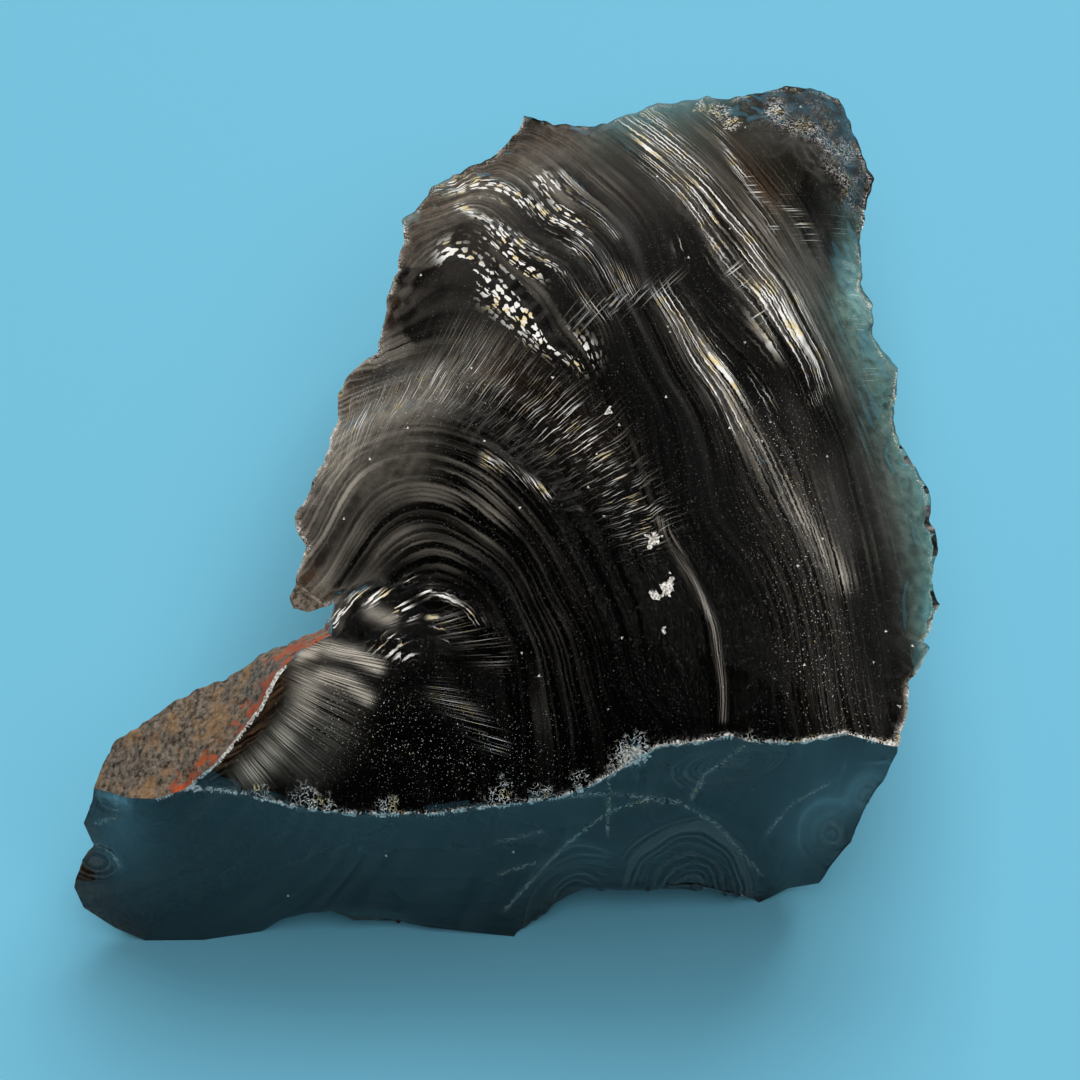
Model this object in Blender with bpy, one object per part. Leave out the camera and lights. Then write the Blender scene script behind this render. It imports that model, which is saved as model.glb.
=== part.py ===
"""Obsidian chunk: one broken lump of volcanic glass, modelled as one closed stone.

The stone rests on a flat sole under its steep front face. Above the front face a broad
conchoidal main face climbs over a low crown and runs out to thin, raised edges. A strip of
weathered rind is left on the toe. The hidden side is a sole and a few plain fracture facets.

Every edge is drawn as a chain of points (across, up, height) in millimetres. Across and up
lie on a drawing plane that leans back by DRAWING_LEAN, from which each seen face shows
without overlap, and height is measured square to the resting surface.
"""
import math

import bpy
import bmesh
import numpy as np
from mathutils import Vector
from mathutils.geometry import delaunay_2d_cdt

# Driving dimensions, in metres: the stone's longest, middle and shortest extents.
LENGTH = 0.078
WIDTH = 0.049
HEIGHT = 0.028

# The drawing plane's lean from level, and the turn that puts the longest extent along X.
DRAWING_LEAN = math.radians(54.0)
LONG_AXIS_TURN = math.radians(65.0)

# Mesh spacings on the drawing plane and along the edges, in millimetres.
SEEN_SPACING = 1.0
HIDDEN_SPACING = 1.7
EDGE_SPACING = 1.1
EDGE_CLEARANCE = 0.55  # least gap from an inner point to an edge, as a share of the spacing
JITTER = 0.18  # how far an inner point may stray, as a share of the spacing
SEED = 7

# Distances, in millimetres, within which two points are one.
SAME_POINT = 1e-6
MERGE_DISTANCE = 1e-4
PLAN_DECIMALS = 6
SMALL_SQUARE = 1e-12  # keeps a logarithm finite where two points meet

# Edges of the silhouette, in order round the stone.
RIM = {
    "toe_end": [(-29.5, -8.5, 15), (-30, -10, 12.5), (-30.5, -11, 11), (-30, -12.5, 9), (-31, -13.5, 7.5),
                (-31.5, -15.5, 5.5), (-31, -17, 3.5), (-29, -18.5, 1.5), (-27, -19.5, 0)],
    "foot_pad": [(-27, -19.5, 0), (-23, -19.5, 0), (-19, -19, 0)],
    "left_arch": [(-19, -19, 0), (-17.5, -18, 2), (-15.5, -17.5, 3), (-14, -17.5, 3), (-12.5, -18.5, 1.5),
                  (-9.5, -18.5, 1), (-5.5, -19, 0.5), (-1.5, -19.5, 0)],
    "right_arch": [(-1.5, -19.5, 0), (0, -18.5, 1), (1.5, -17.5, 2.5), (3.5, -16.5, 3.5), (6.5, -16.5, 4),
                   (11, -16.5, 3.5), (13, -17, 2.5), (15.5, -17.5, 0)],
    "right_foot": [(15.5, -17.5, 0), (17.5, -16.5, 1), (19.5, -16, 3), (20.5, -14.5, 6), (21.5, -13, 9),
                   (22, -11, 12), (23, -8.5, 17.5), (23.5, -6, 23)],
    "right_rim": [(23.5, -6, 23), (24, -4.5, 22.5), (24.5, -2, 22), (25.5, -1, 21.5), (26, 0, 21.5),
                  (25.5, 0.5, 21.5), (26.5, 2, 21), (27, 3, 21), (26.5, 4.5, 21), (27, 6.5, 20.5),
                  (26.5, 11, 20), (25.5, 13, 19.5), (24.5, 14.5, 19.5), (24.5, 16, 19), (25, 17, 19),
                  (25, 19, 18.5), (24, 20.5, 18.5), (23.5, 22, 18), (23.5, 23.5, 18), (23, 24.5, 18),
                  (23, 28.5, 17), (23.5, 30, 17), (24, 33, 16.5), (23.5, 34.5, 16.5), (23, 36, 16),
                  (22.5, 38, 16), (22, 39.5, 16), (20.5, 40, 16)],
    "top_rim": [(20.5, 40, 16), (18, 40.5, 16), (14.5, 39.5, 16.5), (11.5, 39.5, 16.5), (8.5, 39, 17),
                (6.5, 38.5, 17), (4.5, 37.5, 17.5), (0.5, 37.5, 18), (-1.5, 38, 18)],
    "upper_left_rim": [(-1.5, 38, 18), (-2.5, 36.5, 18.5), (-3.5, 35, 18.5), (-6.5, 33.5, 19.5),
                       (-8, 32.5, 19.5), (-9, 31, 20), (-10, 30, 20.5), (-10, 28.5, 21), (-10.5, 26, 21.5),
                       (-11, 23, 22), (-11.5, 20.5, 22), (-13, 19, 22.5), (-14, 17.5, 22.5),
                       (-14, 15.5, 23), (-14.5, 13.5, 23), (-15.5, 11, 23)],
    "left_rim": [(-15.5, 11, 23), (-16.5, 9, 23), (-15.5, 7, 23), (-16, 5.5, 23), (-16.5, 4, 23),
                 (-16, 2.5, 23), (-15, 3, 23.5), (-13.5, 3.5, 24.5)],
    "rind_rim": [(-13.5, 3.5, 24.5), (-14, 2, 24), (-16.5, 1, 22.5), (-18.5, 0, 21.5), (-20, -1, 20.5),
                 (-22, -2, 19.5), (-24.5, -3, 18.5), (-26.5, -4.5, 17.5)],
    "toe_rim": [(-26.5, -4.5, 17.5), (-28, -5.5, 16.5), (-29, -7, 15.5), (-29.5, -8.5, 15)],
}

# Creases of the seen side: the brow over the front face, and the ridge beside the rind.
SEEN_CREASES = {
    "toe_brow": [(-29.5, -8.5, 15), (-27, -9, 17), (-25, -9, 18), (-23, -8.5, 18.5)],
    "brow": [(-23, -8.5, 18.5), (-19.5, -9, 18.5), (-15.5, -10, 18), (-11.5, -10.5, 17.5),
             (-6.5, -10.5, 17.5), (-2.5, -10, 18), (1.5, -9.5, 19), (4, -8.5, 20.5), (6.5, -7, 22),
             (8, -6, 23.5), (10.5, -5.5, 24.5), (12.5, -5, 25), (14, -5.5, 24.5), (17, -5.5, 25),
             (20, -5, 24.5), (23.5, -6, 23)],
    "ridge": [(-23, -8.5, 18.5), (-21, -7, 20.5), (-19.5, -5, 22), (-18, -3, 23.5), (-17, -1, 24.5),
              (-15.5, 0.5, 25), (-13.5, 1.5, 25.5), (-13.5, 3.5, 24.5)],
}

# Creases of the hidden side: round the sole, up the keels, and along the thin right-hand fin.
HIDDEN_CREASES = {
    "sole_left_arch": [(-19, -19, 0), (-17.5, -16.5, 0), (-15, -16, 0), (-12.5, -16.5, 0), (-7.5, -18, 0),
                       (-1.5, -19.5, 0)],
    "sole_right_arch": [(-1.5, -19.5, 0), (1, -16, 0), (4, -14, 0), (10.5, -14, 0), (13.5, -15.5, 0),
                        (15.5, -17.5, 0)],
    "sole_right": [(15.5, -17.5, 0), (16.5, -12, 0), (15.5, -5, 0)],
    "sole_back": [(15.5, -5, 0), (12.5, 1, 0), (8, 6, 0), (2, 9, 0)],
    "sole_left": [(2, 9, 0), (-4, 8.5, 0), (-9, 4.5, 0), (-14, -1, 0)],
    "sole_toe": [(-14, -1, 0), (-18.5, -6.5, 0), (-23, -12, 0)],
    "sole_tip": [(-23, -12, 0), (-26, -16, 0), (-27, -19.5, 0)],
    "top_keel": [(2, 9, 0), (1.5, 17, 3), (0.5, 27, 8.5), (-0.5, 33, 13), (-1.5, 38, 18)],
    "left_keel": [(-14, -1, 0), (-12, 3, 5), (-12.5, 6.5, 10), (-14, 9.5, 16.5), (-15.5, 11, 23)],
    "toe_keel": [(-23, -12, 0), (-24, -9, 4.5), (-25.5, -7, 9.5), (-26.5, -4.5, 17.5)],
    "right_keel": [(15.5, -5, 0), (17, -3, 6), (19, -1.5, 12.5), (21.5, -1, 19)],
    "fin_front": [(23.5, -6, 23), (21.5, -1, 19)],
    "fin_line": [(21.5, -1, 19), (21.5, 4, 19), (21, 10, 18.5), (19.5, 15.5, 17.5), (18.5, 22, 16),
                 (18, 29, 14), (18.5, 35, 13), (20.5, 40, 16)],
}

# Facets: the edges round each, and heights at a few points inside it.
SEEN_FACETS = {
    "main_face": (
        ["brow", "right_rim", "top_rim", "upper_left_rim", "left_rim", "ridge"],
        [(-15.5, -4, 23.5), (-18.5, -7, 20.5), (-12.5, 1, 25.5), (-10.5, -5.5, 22.5), (-6.5, -3, 24),
         (-4.5, -7.5, 20.5), (-6.5, 3, 25.5), (-12, 6, 24.5), (-13, 10, 24), (-8, 13.5, 25),
         (-10, 19.5, 23), (-7, 26, 22), (-1.5, 30.5, 21.5), (-1.5, 21.5, 24.5), (0, 11.5, 26.5),
         (4, 16.5, 26.5), (1.5, 1, 26.5), (6.5, 3.5, 28), (5, -3, 25.5), (11.5, 1, 27.5), (10.5, 8.5, 27.5),
         (10.5, 21.5, 24.5), (8.5, 29.5, 22), (12.5, 33.5, 20), (15, 26.5, 22), (17.5, 17, 23),
         (15.5, 7.5, 26), (20, 1, 25), (20.5, 8.5, 23.5), (22, 17, 21.5), (20, 24, 21), (20, 32, 19.5),
         (22, 34, 18.5), (21, 37.5, 18), (18, 38.5, 18), (23, 6, 23), (16.5, -3, 26.5)]),
    "front_face": (
        ["toe_brow", "brow", "right_foot", "right_arch", "left_arch", "foot_pad", "toe_end"],
        [(-26, -14, 9.5), (-19, -14, 10), (-12, -14, 9.5), (-6, -14.5, 9), (1.5, -13, 11), (8, -12.5, 12),
         (13, -11.5, 13), (18.5, -9.5, 17), (14, -7.5, 21)]),
    "rind": (
        ["toe_brow", "ridge", "rind_rim", "toe_rim"],
        [(-25.5, -6.5, 18), (-22, -5.5, 20), (-19.5, -3, 21.5), (-17.5, -0.5, 23)]),
}
HIDDEN_FACETS = {
    "sole": (
        ["foot_pad", "sole_left_arch", "sole_right_arch", "sole_right", "sole_back", "sole_left",
         "sole_toe", "sole_tip"], []),
    "left_arch_roof": (["left_arch", "sole_left_arch"], []),
    "right_arch_roof": (["right_arch", "sole_right_arch"], []),
    "right_cheek": (["sole_right", "right_keel", "fin_front", "right_foot"], []),
    "fin": (["fin_front", "fin_line", "right_rim"], []),
    "right_back": (["sole_back", "top_keel", "top_rim", "fin_line", "right_keel"], []),
    "left_back": (["sole_left", "left_keel", "upper_left_rim", "top_keel"], []),
    "toe_back": (["sole_toe", "toe_keel", "rind_rim", "left_rim", "left_keel"], []),
    "toe_cheek": (["sole_tip", "toe_end", "toe_rim", "toe_keel"], []),
}

# Dark volcanic glass: near black, with a glass-like gloss.
GLASS_COLOUR = (0.012, 0.014, 0.014, 1.0)
GLASS_ROUGHNESS = 0.06
GLASS_IOR = 1.49


def bench_point(point):
    """Turns (across, up, height) on the drawing plane into x, y, z on the bench, in millimetres."""
    across, up, height = point
    depth = (up - height * math.cos(DRAWING_LEAN)) / math.sin(DRAWING_LEAN)
    return (across, depth, height)


def sampled(chain, spacing):
    """Divides a chain of points into steps of about the given length, keeping its own points."""
    points = [tuple(map(float, chain[0]))]
    for start, end in zip(chain, chain[1:]):
        gap = math.dist(bench_point(start), bench_point(end))
        steps = max(1, round(gap / spacing))
        for step in range(1, steps + 1):
            ratio = step / steps
            points.append(tuple(a + (b - a) * ratio for a, b in zip(start, end)))
    return points


def joined(chains):
    """Links chains end to end into one closed loop of points, turning round those drawn backwards."""
    remaining = list(chains[1:])
    loop = list(chains[0])
    while remaining:
        for chain in remaining:
            if math.dist(chain[0], loop[-1]) < SAME_POINT:
                link = chain
            elif math.dist(chain[-1], loop[-1]) < SAME_POINT:
                link = chain[::-1]
            else:
                continue
            remaining.remove(chain)
            loop.extend(link[1:])
            break
        else:
            raise ValueError("a facet's edges don't close")
    return loop[:-1]


def thin_plate(nodes):
    """Returns a smooth height over the drawing plane that passes through every node."""
    nodes = np.unique(np.round(np.array(nodes), PLAN_DECIMALS), axis=0)
    plan, heights = nodes[:, :2], nodes[:, 2]
    count = len(nodes)

    def kernel(points):
        squares = ((points[:, None, :] - plan[None, :, :]) ** 2).sum(axis=2)
        return 0.5 * squares * np.log(squares + SMALL_SQUARE)

    system = np.zeros((count + 3, count + 3))
    system[:count, :count] = kernel(plan)
    system[:count, count] = system[count, :count] = 1.0
    system[:count, count + 1:] = plan
    system[count + 1:, :count] = plan.T
    weights = np.linalg.solve(system, np.append(heights, [0.0, 0.0, 0.0]))

    def height(points):
        points = np.asarray(points)
        return kernel(points) @ weights[:count] + weights[count] + points @ weights[count + 1:]

    return height


def inside(points, loop):
    """Tells which points lie within a loop, by counting the loop's edges to one side of each."""
    loop = np.array(loop)[:, :2]
    result = np.zeros(len(points), dtype=bool)
    for start, end in zip(loop, np.roll(loop, -1, axis=0)):
        spans = (start[1] > points[:, 1]) != (end[1] > points[:, 1])
        if spans.any():
            ratio = (points[spans, 1] - start[1]) / (end[1] - start[1])
            result[spans] ^= points[spans, 0] < start[0] + ratio * (end[0] - start[0])
    return result


def staggered_grid(loop, spacing, rng):
    """Lays staggered, slightly uneven points over a loop's extent on the drawing plane."""
    loop = np.array(loop)[:, :2]
    low, high = loop.min(axis=0), loop.max(axis=0)
    pitch = spacing * math.sqrt(3.0) / 2.0
    rows = []
    for row, up in enumerate(np.arange(low[1], high[1], pitch)):
        across = np.arange(low[0] + (row % 2) * spacing / 2.0, high[0], spacing)
        rows.append(np.column_stack([across, np.full(len(across), up)]))
    points = np.vstack(rows)
    return points + rng.uniform(-JITTER, JITTER, points.shape) * spacing


def facet_points(loop, inner, edge_points, spacing, rng):
    """Returns the points inside one facet, clear of all edges, with their heights."""
    height = thin_plate(list(loop) + list(inner))
    grid = staggered_grid(loop, spacing, rng)
    grid = grid[inside(grid, loop)]
    gaps = np.linalg.norm(grid[:, None, :] - edge_points[None, :, :2], axis=2).min(axis=1)
    grid = grid[gaps > EDGE_CLEARANCE * spacing]
    return np.column_stack([grid, height(grid)])


def build_sheet(facets, edges, spacing, rng):
    """Meshes one side of the stone.

    Returns its points as (across, up, height) rows, and its triangles.
    """
    outline = joined([edges[name] for name in RIM])
    edge_points = np.array([point for chain in edges.values() for point in chain])
    points = [tuple(point) for point in np.unique(np.round(edge_points, PLAN_DECIMALS), axis=0)]
    index = {point: number for number, point in enumerate(points)}
    lines = []
    for chain in edges.values():
        numbers = [index[tuple(point)] for point in np.round(chain, PLAN_DECIMALS)]
        lines.extend(zip(numbers, numbers[1:]))
    for names, inner in facets.values():
        loop = joined([edges[name] for name in names])
        points.extend(map(tuple, facet_points(loop, inner, edge_points, spacing, rng)))
    plan = [Vector(point[:2]) for point in points]
    triangles = np.array(delaunay_2d_cdt(plan, lines, [], 0, SAME_POINT)[2])
    middles = np.array(points)[triangles][:, :, :2].mean(axis=1)
    return points, triangles[inside(middles, outline)]


def stone_mesh():
    """Joins the seen and hidden sides along the rim into one closed mesh, in drawing millimetres."""
    rng = np.random.default_rng(SEED)
    rim = {name: sampled(chain, EDGE_SPACING) for name, chain in RIM.items()}
    sides = [(SEEN_FACETS, SEEN_CREASES, SEEN_SPACING), (HIDDEN_FACETS, HIDDEN_CREASES, HIDDEN_SPACING)]
    mesh = bmesh.new()
    for facets, creases, spacing in sides:
        edges = dict(rim)
        for name, chain in creases.items():
            edges[name] = sampled(chain, spacing)
        rows, faces = build_sheet(facets, edges, spacing, rng)
        verts = [mesh.verts.new(bench_point(row)) for row in rows]
        for face in faces:
            mesh.faces.new([verts[number] for number in face])
    bmesh.ops.remove_doubles(mesh, verts=mesh.verts[:], dist=MERGE_DISTANCE)
    flat_ears = [face for face in mesh.faces if any(edge.is_boundary for edge in face.edges)]
    bmesh.ops.delete(mesh, geom=flat_ears, context="FACES")
    bmesh.ops.recalc_face_normals(mesh, faces=mesh.faces[:])
    return mesh


def turn_and_fit(mesh):
    """Turns the long side to X, fits the driving dimensions, and centres the stone over the origin."""
    cos, sin = math.cos(LONG_AXIS_TURN), math.sin(LONG_AXIS_TURN)
    for vert in mesh.verts:
        x, y, z = vert.co
        vert.co = (x * cos + y * sin, y * cos - x * sin, z)
    corners = np.array([vert.co for vert in mesh.verts])
    low, high = corners.min(axis=0), corners.max(axis=0)
    scale = np.array([LENGTH, WIDTH, HEIGHT]) / (high - low)
    origin = np.array([(low[0] + high[0]) / 2.0, (low[1] + high[1]) / 2.0, low[2]])
    for vert in mesh.verts:
        vert.co = (np.array(vert.co) - origin) * scale


def glass_material():
    """Makes the stone's dark volcanic glass."""
    material = bpy.data.materials.new("dark_volcanic_glass")
    material.use_nodes = True
    shader = material.node_tree.nodes["Principled BSDF"]
    shader.inputs["Base Color"].default_value = GLASS_COLOUR
    shader.inputs["Metallic"].default_value = 0.0
    shader.inputs["Roughness"].default_value = GLASS_ROUGHNESS
    shader.inputs["IOR"].default_value = GLASS_IOR
    return material


def build():
    """Clears the scene and makes the stone in its own collection."""
    for old in list(bpy.data.objects):
        bpy.data.objects.remove(old, do_unlink=True)
    collection = bpy.data.collections.new("Obsidian chunk")
    bpy.context.scene.collection.children.link(collection)
    mesh = stone_mesh()
    turn_and_fit(mesh)
    data = bpy.data.meshes.new("obsidian_chunk")
    mesh.to_mesh(data)
    mesh.free()
    data.materials.append(glass_material())
    collection.objects.link(bpy.data.objects.new("obsidian_chunk", data))


build()
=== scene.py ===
"""The looks of an obsidian chunk: its rippled glass, weathered rind, bruises and nibbled edges.

The stone's measured solid gives the shape. A finely divided copy of it is carved here: conchoidal
ripples, hackle lines, a step, a bowl, flake scars and crumbled edges are worked into its mesh, and
each finish is a material built from nodes. Some light is painted into the glass: white and golden
marks stand in for glints on the ripples and along the rind's ridge, gray and brown films for
reflected sheen, and a gray-green film for light seen through the thin rim.

Marks are laid out on a drawing plane, in millimetres: across to the right and up the leaning plane.
"""
import logging
import math
from dataclasses import dataclass, field
from enum import IntEnum

import bmesh
import bpy
import numpy as np
from mathutils import Matrix, Vector, noise
from mathutils.kdtree import KDTree


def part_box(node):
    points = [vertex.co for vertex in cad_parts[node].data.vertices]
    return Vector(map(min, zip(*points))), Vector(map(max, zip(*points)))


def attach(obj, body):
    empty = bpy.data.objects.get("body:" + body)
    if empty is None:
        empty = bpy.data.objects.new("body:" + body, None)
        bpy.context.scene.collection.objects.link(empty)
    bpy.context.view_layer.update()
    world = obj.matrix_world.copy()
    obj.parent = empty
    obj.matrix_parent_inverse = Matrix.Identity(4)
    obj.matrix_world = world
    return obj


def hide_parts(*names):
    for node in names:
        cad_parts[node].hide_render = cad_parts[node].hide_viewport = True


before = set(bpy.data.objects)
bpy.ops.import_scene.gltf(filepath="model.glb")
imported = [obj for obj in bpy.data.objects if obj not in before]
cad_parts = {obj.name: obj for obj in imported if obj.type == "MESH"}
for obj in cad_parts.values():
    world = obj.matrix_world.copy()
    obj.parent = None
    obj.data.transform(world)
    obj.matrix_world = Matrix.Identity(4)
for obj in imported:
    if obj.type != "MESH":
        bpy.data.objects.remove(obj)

LOG = logging.getLogger("obsidian")
NODE = "obsidian_chunk"
MM = 0.001

Array = np.ndarray
Point = tuple[float, float]


class Skin(IntEnum):
    """The finishes that the stone's faces carry, in the order of its material slots."""

    GLASS = 0
    RIND = 1
    BRUISE = 2


def hex_to_linear(code: str) -> tuple[float, float, float, float]:
    """Turns an sRGB hex colour into linear light.

    Args:
        code: six hex digits, with or without a leading hash.

    Returns:
        Red, green, blue and an alpha of one.
    """
    code = code.lstrip("#")
    channels = [int(code[start:start + 2], 16) / 255.0 for start in (0, 2, 4)]
    linear = [c / 12.92 if c <= 0.04045 else ((c + 0.055) / 1.055) ** 2.4 for c in channels]
    return (linear[0], linear[1], linear[2], 1.0)


def add_node(tree: bpy.types.NodeTree, kind: str, settings: dict | None = None,
             links: dict | None = None) -> bpy.types.Node:
    """Adds one node to a tree.

    Args:
        tree: the node tree that takes the node.
        kind: the node's type name.
        settings: its properties and unlinked inputs, by name, or by number for an input.
        links: its linked inputs, by name or number, each with the output that feeds it.

    Returns:
        The new node.
    """
    node = tree.nodes.new(kind)
    for name, value in (settings or {}).items():
        if isinstance(name, str) and hasattr(node, name):
            setattr(node, name, value)
        else:
            node.inputs[name].default_value = value
    for name, source in (links or {}).items():
        tree.links.new(source, node.inputs[name])
    return node


def smoothstep(low: float, high: float, value: Array) -> Array:
    """Eases a value from nought at low to one at high."""
    ratio = np.clip((value - low) / (high - low), 0.0, 1.0)
    return ratio * ratio * (3.0 - 2.0 * ratio)


def bell(value: Array, width: float) -> Array:
    """Returns a smooth bump of height one round nought, with the given half width."""
    return np.exp(-(value / width) ** 2)


def wander(points: Array, pitch: float, seed: float) -> Array:
    """Evaluates smooth noise over points.

    Args:
        points: rows of two or three coordinates, in millimetres.
        pitch: the distance over which the noise changes, in millimetres.
        seed: an offset that sets one noise apart from another.

    Returns:
        One value from about minus one to one for each row.
    """
    rows = np.column_stack([points, np.full(len(points), seed)])[:, :3] / pitch + seed
    return np.array([noise.noise(row) for row in rows])


def path_distance(points: Array, path: list[Point]) -> tuple[Array, Array]:
    """Measures how far points lie from a path on the drawing plane.

    Args:
        points: rows of across and up.
        path: the path's corners, in order.

    Returns:
        The signed distance, positive to the path's left, and the distance run along the path.
    """
    best = np.full(len(points), np.inf)
    signed = np.zeros(len(points))
    along = np.zeros(len(points))
    run = 0.0
    corners = np.array(path, dtype=float)
    for start, end in zip(corners, corners[1:]):
        step = end - start
        length = float(np.hypot(*step))
        ratio = np.clip(((points - start) @ step) / length ** 2, 0.0, 1.0)
        offset = points - (start + ratio[:, None] * step)
        gap = np.hypot(offset[:, 0], offset[:, 1])
        side = np.sign(step[0] * offset[:, 1] - step[1] * offset[:, 0])
        closer = gap < best
        best = np.where(closer, gap, best)
        signed = np.where(closer, gap * side, signed)
        along = np.where(closer, run + ratio * length, along)
        run += length
    return signed, along


@dataclass(frozen=True)
class DrawingPlane:
    """The leaning plane on which the stone's marks are laid out, tied to the stone's own frame."""

    lean_deg: float = 54.0
    turn_deg: float = 65.0
    origin_mm: Point = (4.281, -6.366)
    fit: tuple[float, float, float] = (1.0069, 0.9750, 0.9967)

    def turn(self) -> Matrix:
        """Returns the rotation from the bench, seen square on, to the stone's own axes."""
        return Matrix.Rotation(-math.radians(self.turn_deg), 3, "Z")

    def bench(self, points: Array) -> Array:
        """Turns the stone's coordinates, in metres, into bench coordinates in millimetres."""
        rows = points / MM / np.array(self.fit)
        rows = rows + np.array([self.origin_mm[0], self.origin_mm[1], 0.0])
        return rows @ np.array(self.turn())

    def drawing(self, points: Array) -> Array:
        """Turns the stone's coordinates, in metres, into across and up on the plane, in millimetres."""
        rows = self.bench(points)
        lean = math.radians(self.lean_deg)
        return np.column_stack([rows[:, 0], rows[:, 1] * math.sin(lean) + rows[:, 2] * math.cos(lean)])

    def placed(self, bench_mm: tuple[float, float, float]) -> Vector:
        """Turns a bench place in millimetres into the stone's coordinates in metres."""
        spot = self.turn() @ Vector(bench_mm)
        spot = spot - Vector((self.origin_mm[0], self.origin_mm[1], 0.0))
        return Vector(value * scale * MM for value, scale in zip(spot, self.fit))

    def outward(self) -> Vector:
        """Returns the direction square to the plane, towards the eye, in the stone's axes."""
        lean = math.radians(self.lean_deg)
        return self.turn() @ Vector((0.0, -math.cos(lean), math.sin(lean)))


class PlateField:
    """A smooth field over the drawing plane that takes given values along given guide arcs."""

    def __init__(self, guides: dict[float, list[Point]]) -> None:
        """Fits the field.

        Args:
            guides: for each value, the points of the arc along which the field holds it.
        """
        self.nodes = np.array([point for arc in guides.values() for point in arc], dtype=float)
        values = np.array([value for value, arc in guides.items() for _ in arc], dtype=float)
        count = len(values)
        system = np.zeros((count + 3, count + 3))
        system[:count, :count] = self._kernel(self.nodes)
        system[:count, count] = system[count, :count] = 1.0
        system[:count, count + 1:] = self.nodes
        system[count + 1:, :count] = self.nodes.T
        self.weights = np.linalg.solve(system, np.append(values, [0.0, 0.0, 0.0]))

    def _kernel(self, points: Array) -> Array:
        """Returns the thin-plate kernel between points and the field's nodes."""
        squares = ((points[:, None, :] - self.nodes[None, :, :]) ** 2).sum(axis=2)
        return 0.5 * squares * np.log(squares + 1e-9)

    def at(self, points: Array) -> Array:
        """Evaluates the field at rows of across and up."""
        count = len(self.nodes)
        return self._kernel(points) @ self.weights[:count] + self.weights[count] + points @ self.weights[count + 1:]


@dataclass(frozen=True)
class Swell:
    """One ridge of a fracture ripple: it climbs slowly from within and falls steeply outwards."""

    path: tuple[Point, ...]
    height: float
    slow: float
    steep: float
    fade: float = 2.5

    def rise(self, points: Array, beads: Array) -> Array:
        """Returns the swell's height over rows of across and up, in millimetres.

        Args:
            points: rows of across and up.
            beads: how much wider or narrower its steep side is at each row, round one.

        Returns:
            One height for each row.
        """
        gap, along = path_distance(points, list(self.path))
        length = float(np.hypot(*np.diff(np.array(self.path), axis=0).T).sum())
        ends = np.hypot(*(points - np.array(self.path[0])).T), np.hypot(*(points - np.array(self.path[-1])).T)
        near = smoothstep(0.0, self.fade, np.minimum(along, length - along))
        near = near * smoothstep(0.0, self.fade, np.minimum(*ends))
        inner = np.clip(1.0 + gap / self.slow, 0.0, 1.0) ** 1.5
        outer = 1.0 - smoothstep(0.0, 1.0, gap / (self.steep * beads))
        return self.height * near * np.where(gap < 0.0, inner, outer)


@dataclass(frozen=True)
class Scar:
    """A flake scar: a shallow bowl with a crisp edge, ringed by faint ripples."""

    centre: Point
    radii: Point
    turn_deg: float
    depth: float
    ring: float = 1.1
    ring_height: float = 0.015

    def reach(self, points: Array) -> Array:
        """Returns how far out rows of across and up lie, with one at the scar's ragged edge."""
        turn = math.radians(self.turn_deg)
        offset = points - np.array(self.centre)
        first = (offset[:, 0] * math.cos(turn) + offset[:, 1] * math.sin(turn)) / self.radii[0]
        second = (offset[:, 1] * math.cos(turn) - offset[:, 0] * math.sin(turn)) / self.radii[1]
        return np.hypot(first, second) + 0.08 * wander(points, 2.2, self.centre[0])

    def rise(self, points: Array) -> Array:
        """Returns the scar's height, nought or less, over rows of across and up, in millimetres."""
        reach = self.reach(points)
        bowl = np.clip(1.0 - reach ** 2, 0.0, 1.0)
        rings = np.sin(2.0 * math.pi * reach * self.radii[0] / self.ring) * smoothstep(0.0, 0.3, bowl)
        return -self.depth * bowl + self.ring_height * rings * (reach < 1.0)


@dataclass(frozen=True)
class Zone:
    """A band along a path in which a mark is strong."""

    path: tuple[Point, ...]
    width: float
    strength: float

    def share(self, points: Array) -> Array:
        """Returns the mark's strength over rows of across and up."""
        return self.strength * bell(path_distance(points, list(self.path))[0], self.width)


def strength_of(zones: tuple[Zone, ...], points: Array) -> Array:
    """Adds up the strength of zones over rows of across and up, held to at most one and a half."""
    return np.clip(sum(zone.share(points) for zone in zones), 0.0, 1.5)


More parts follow.
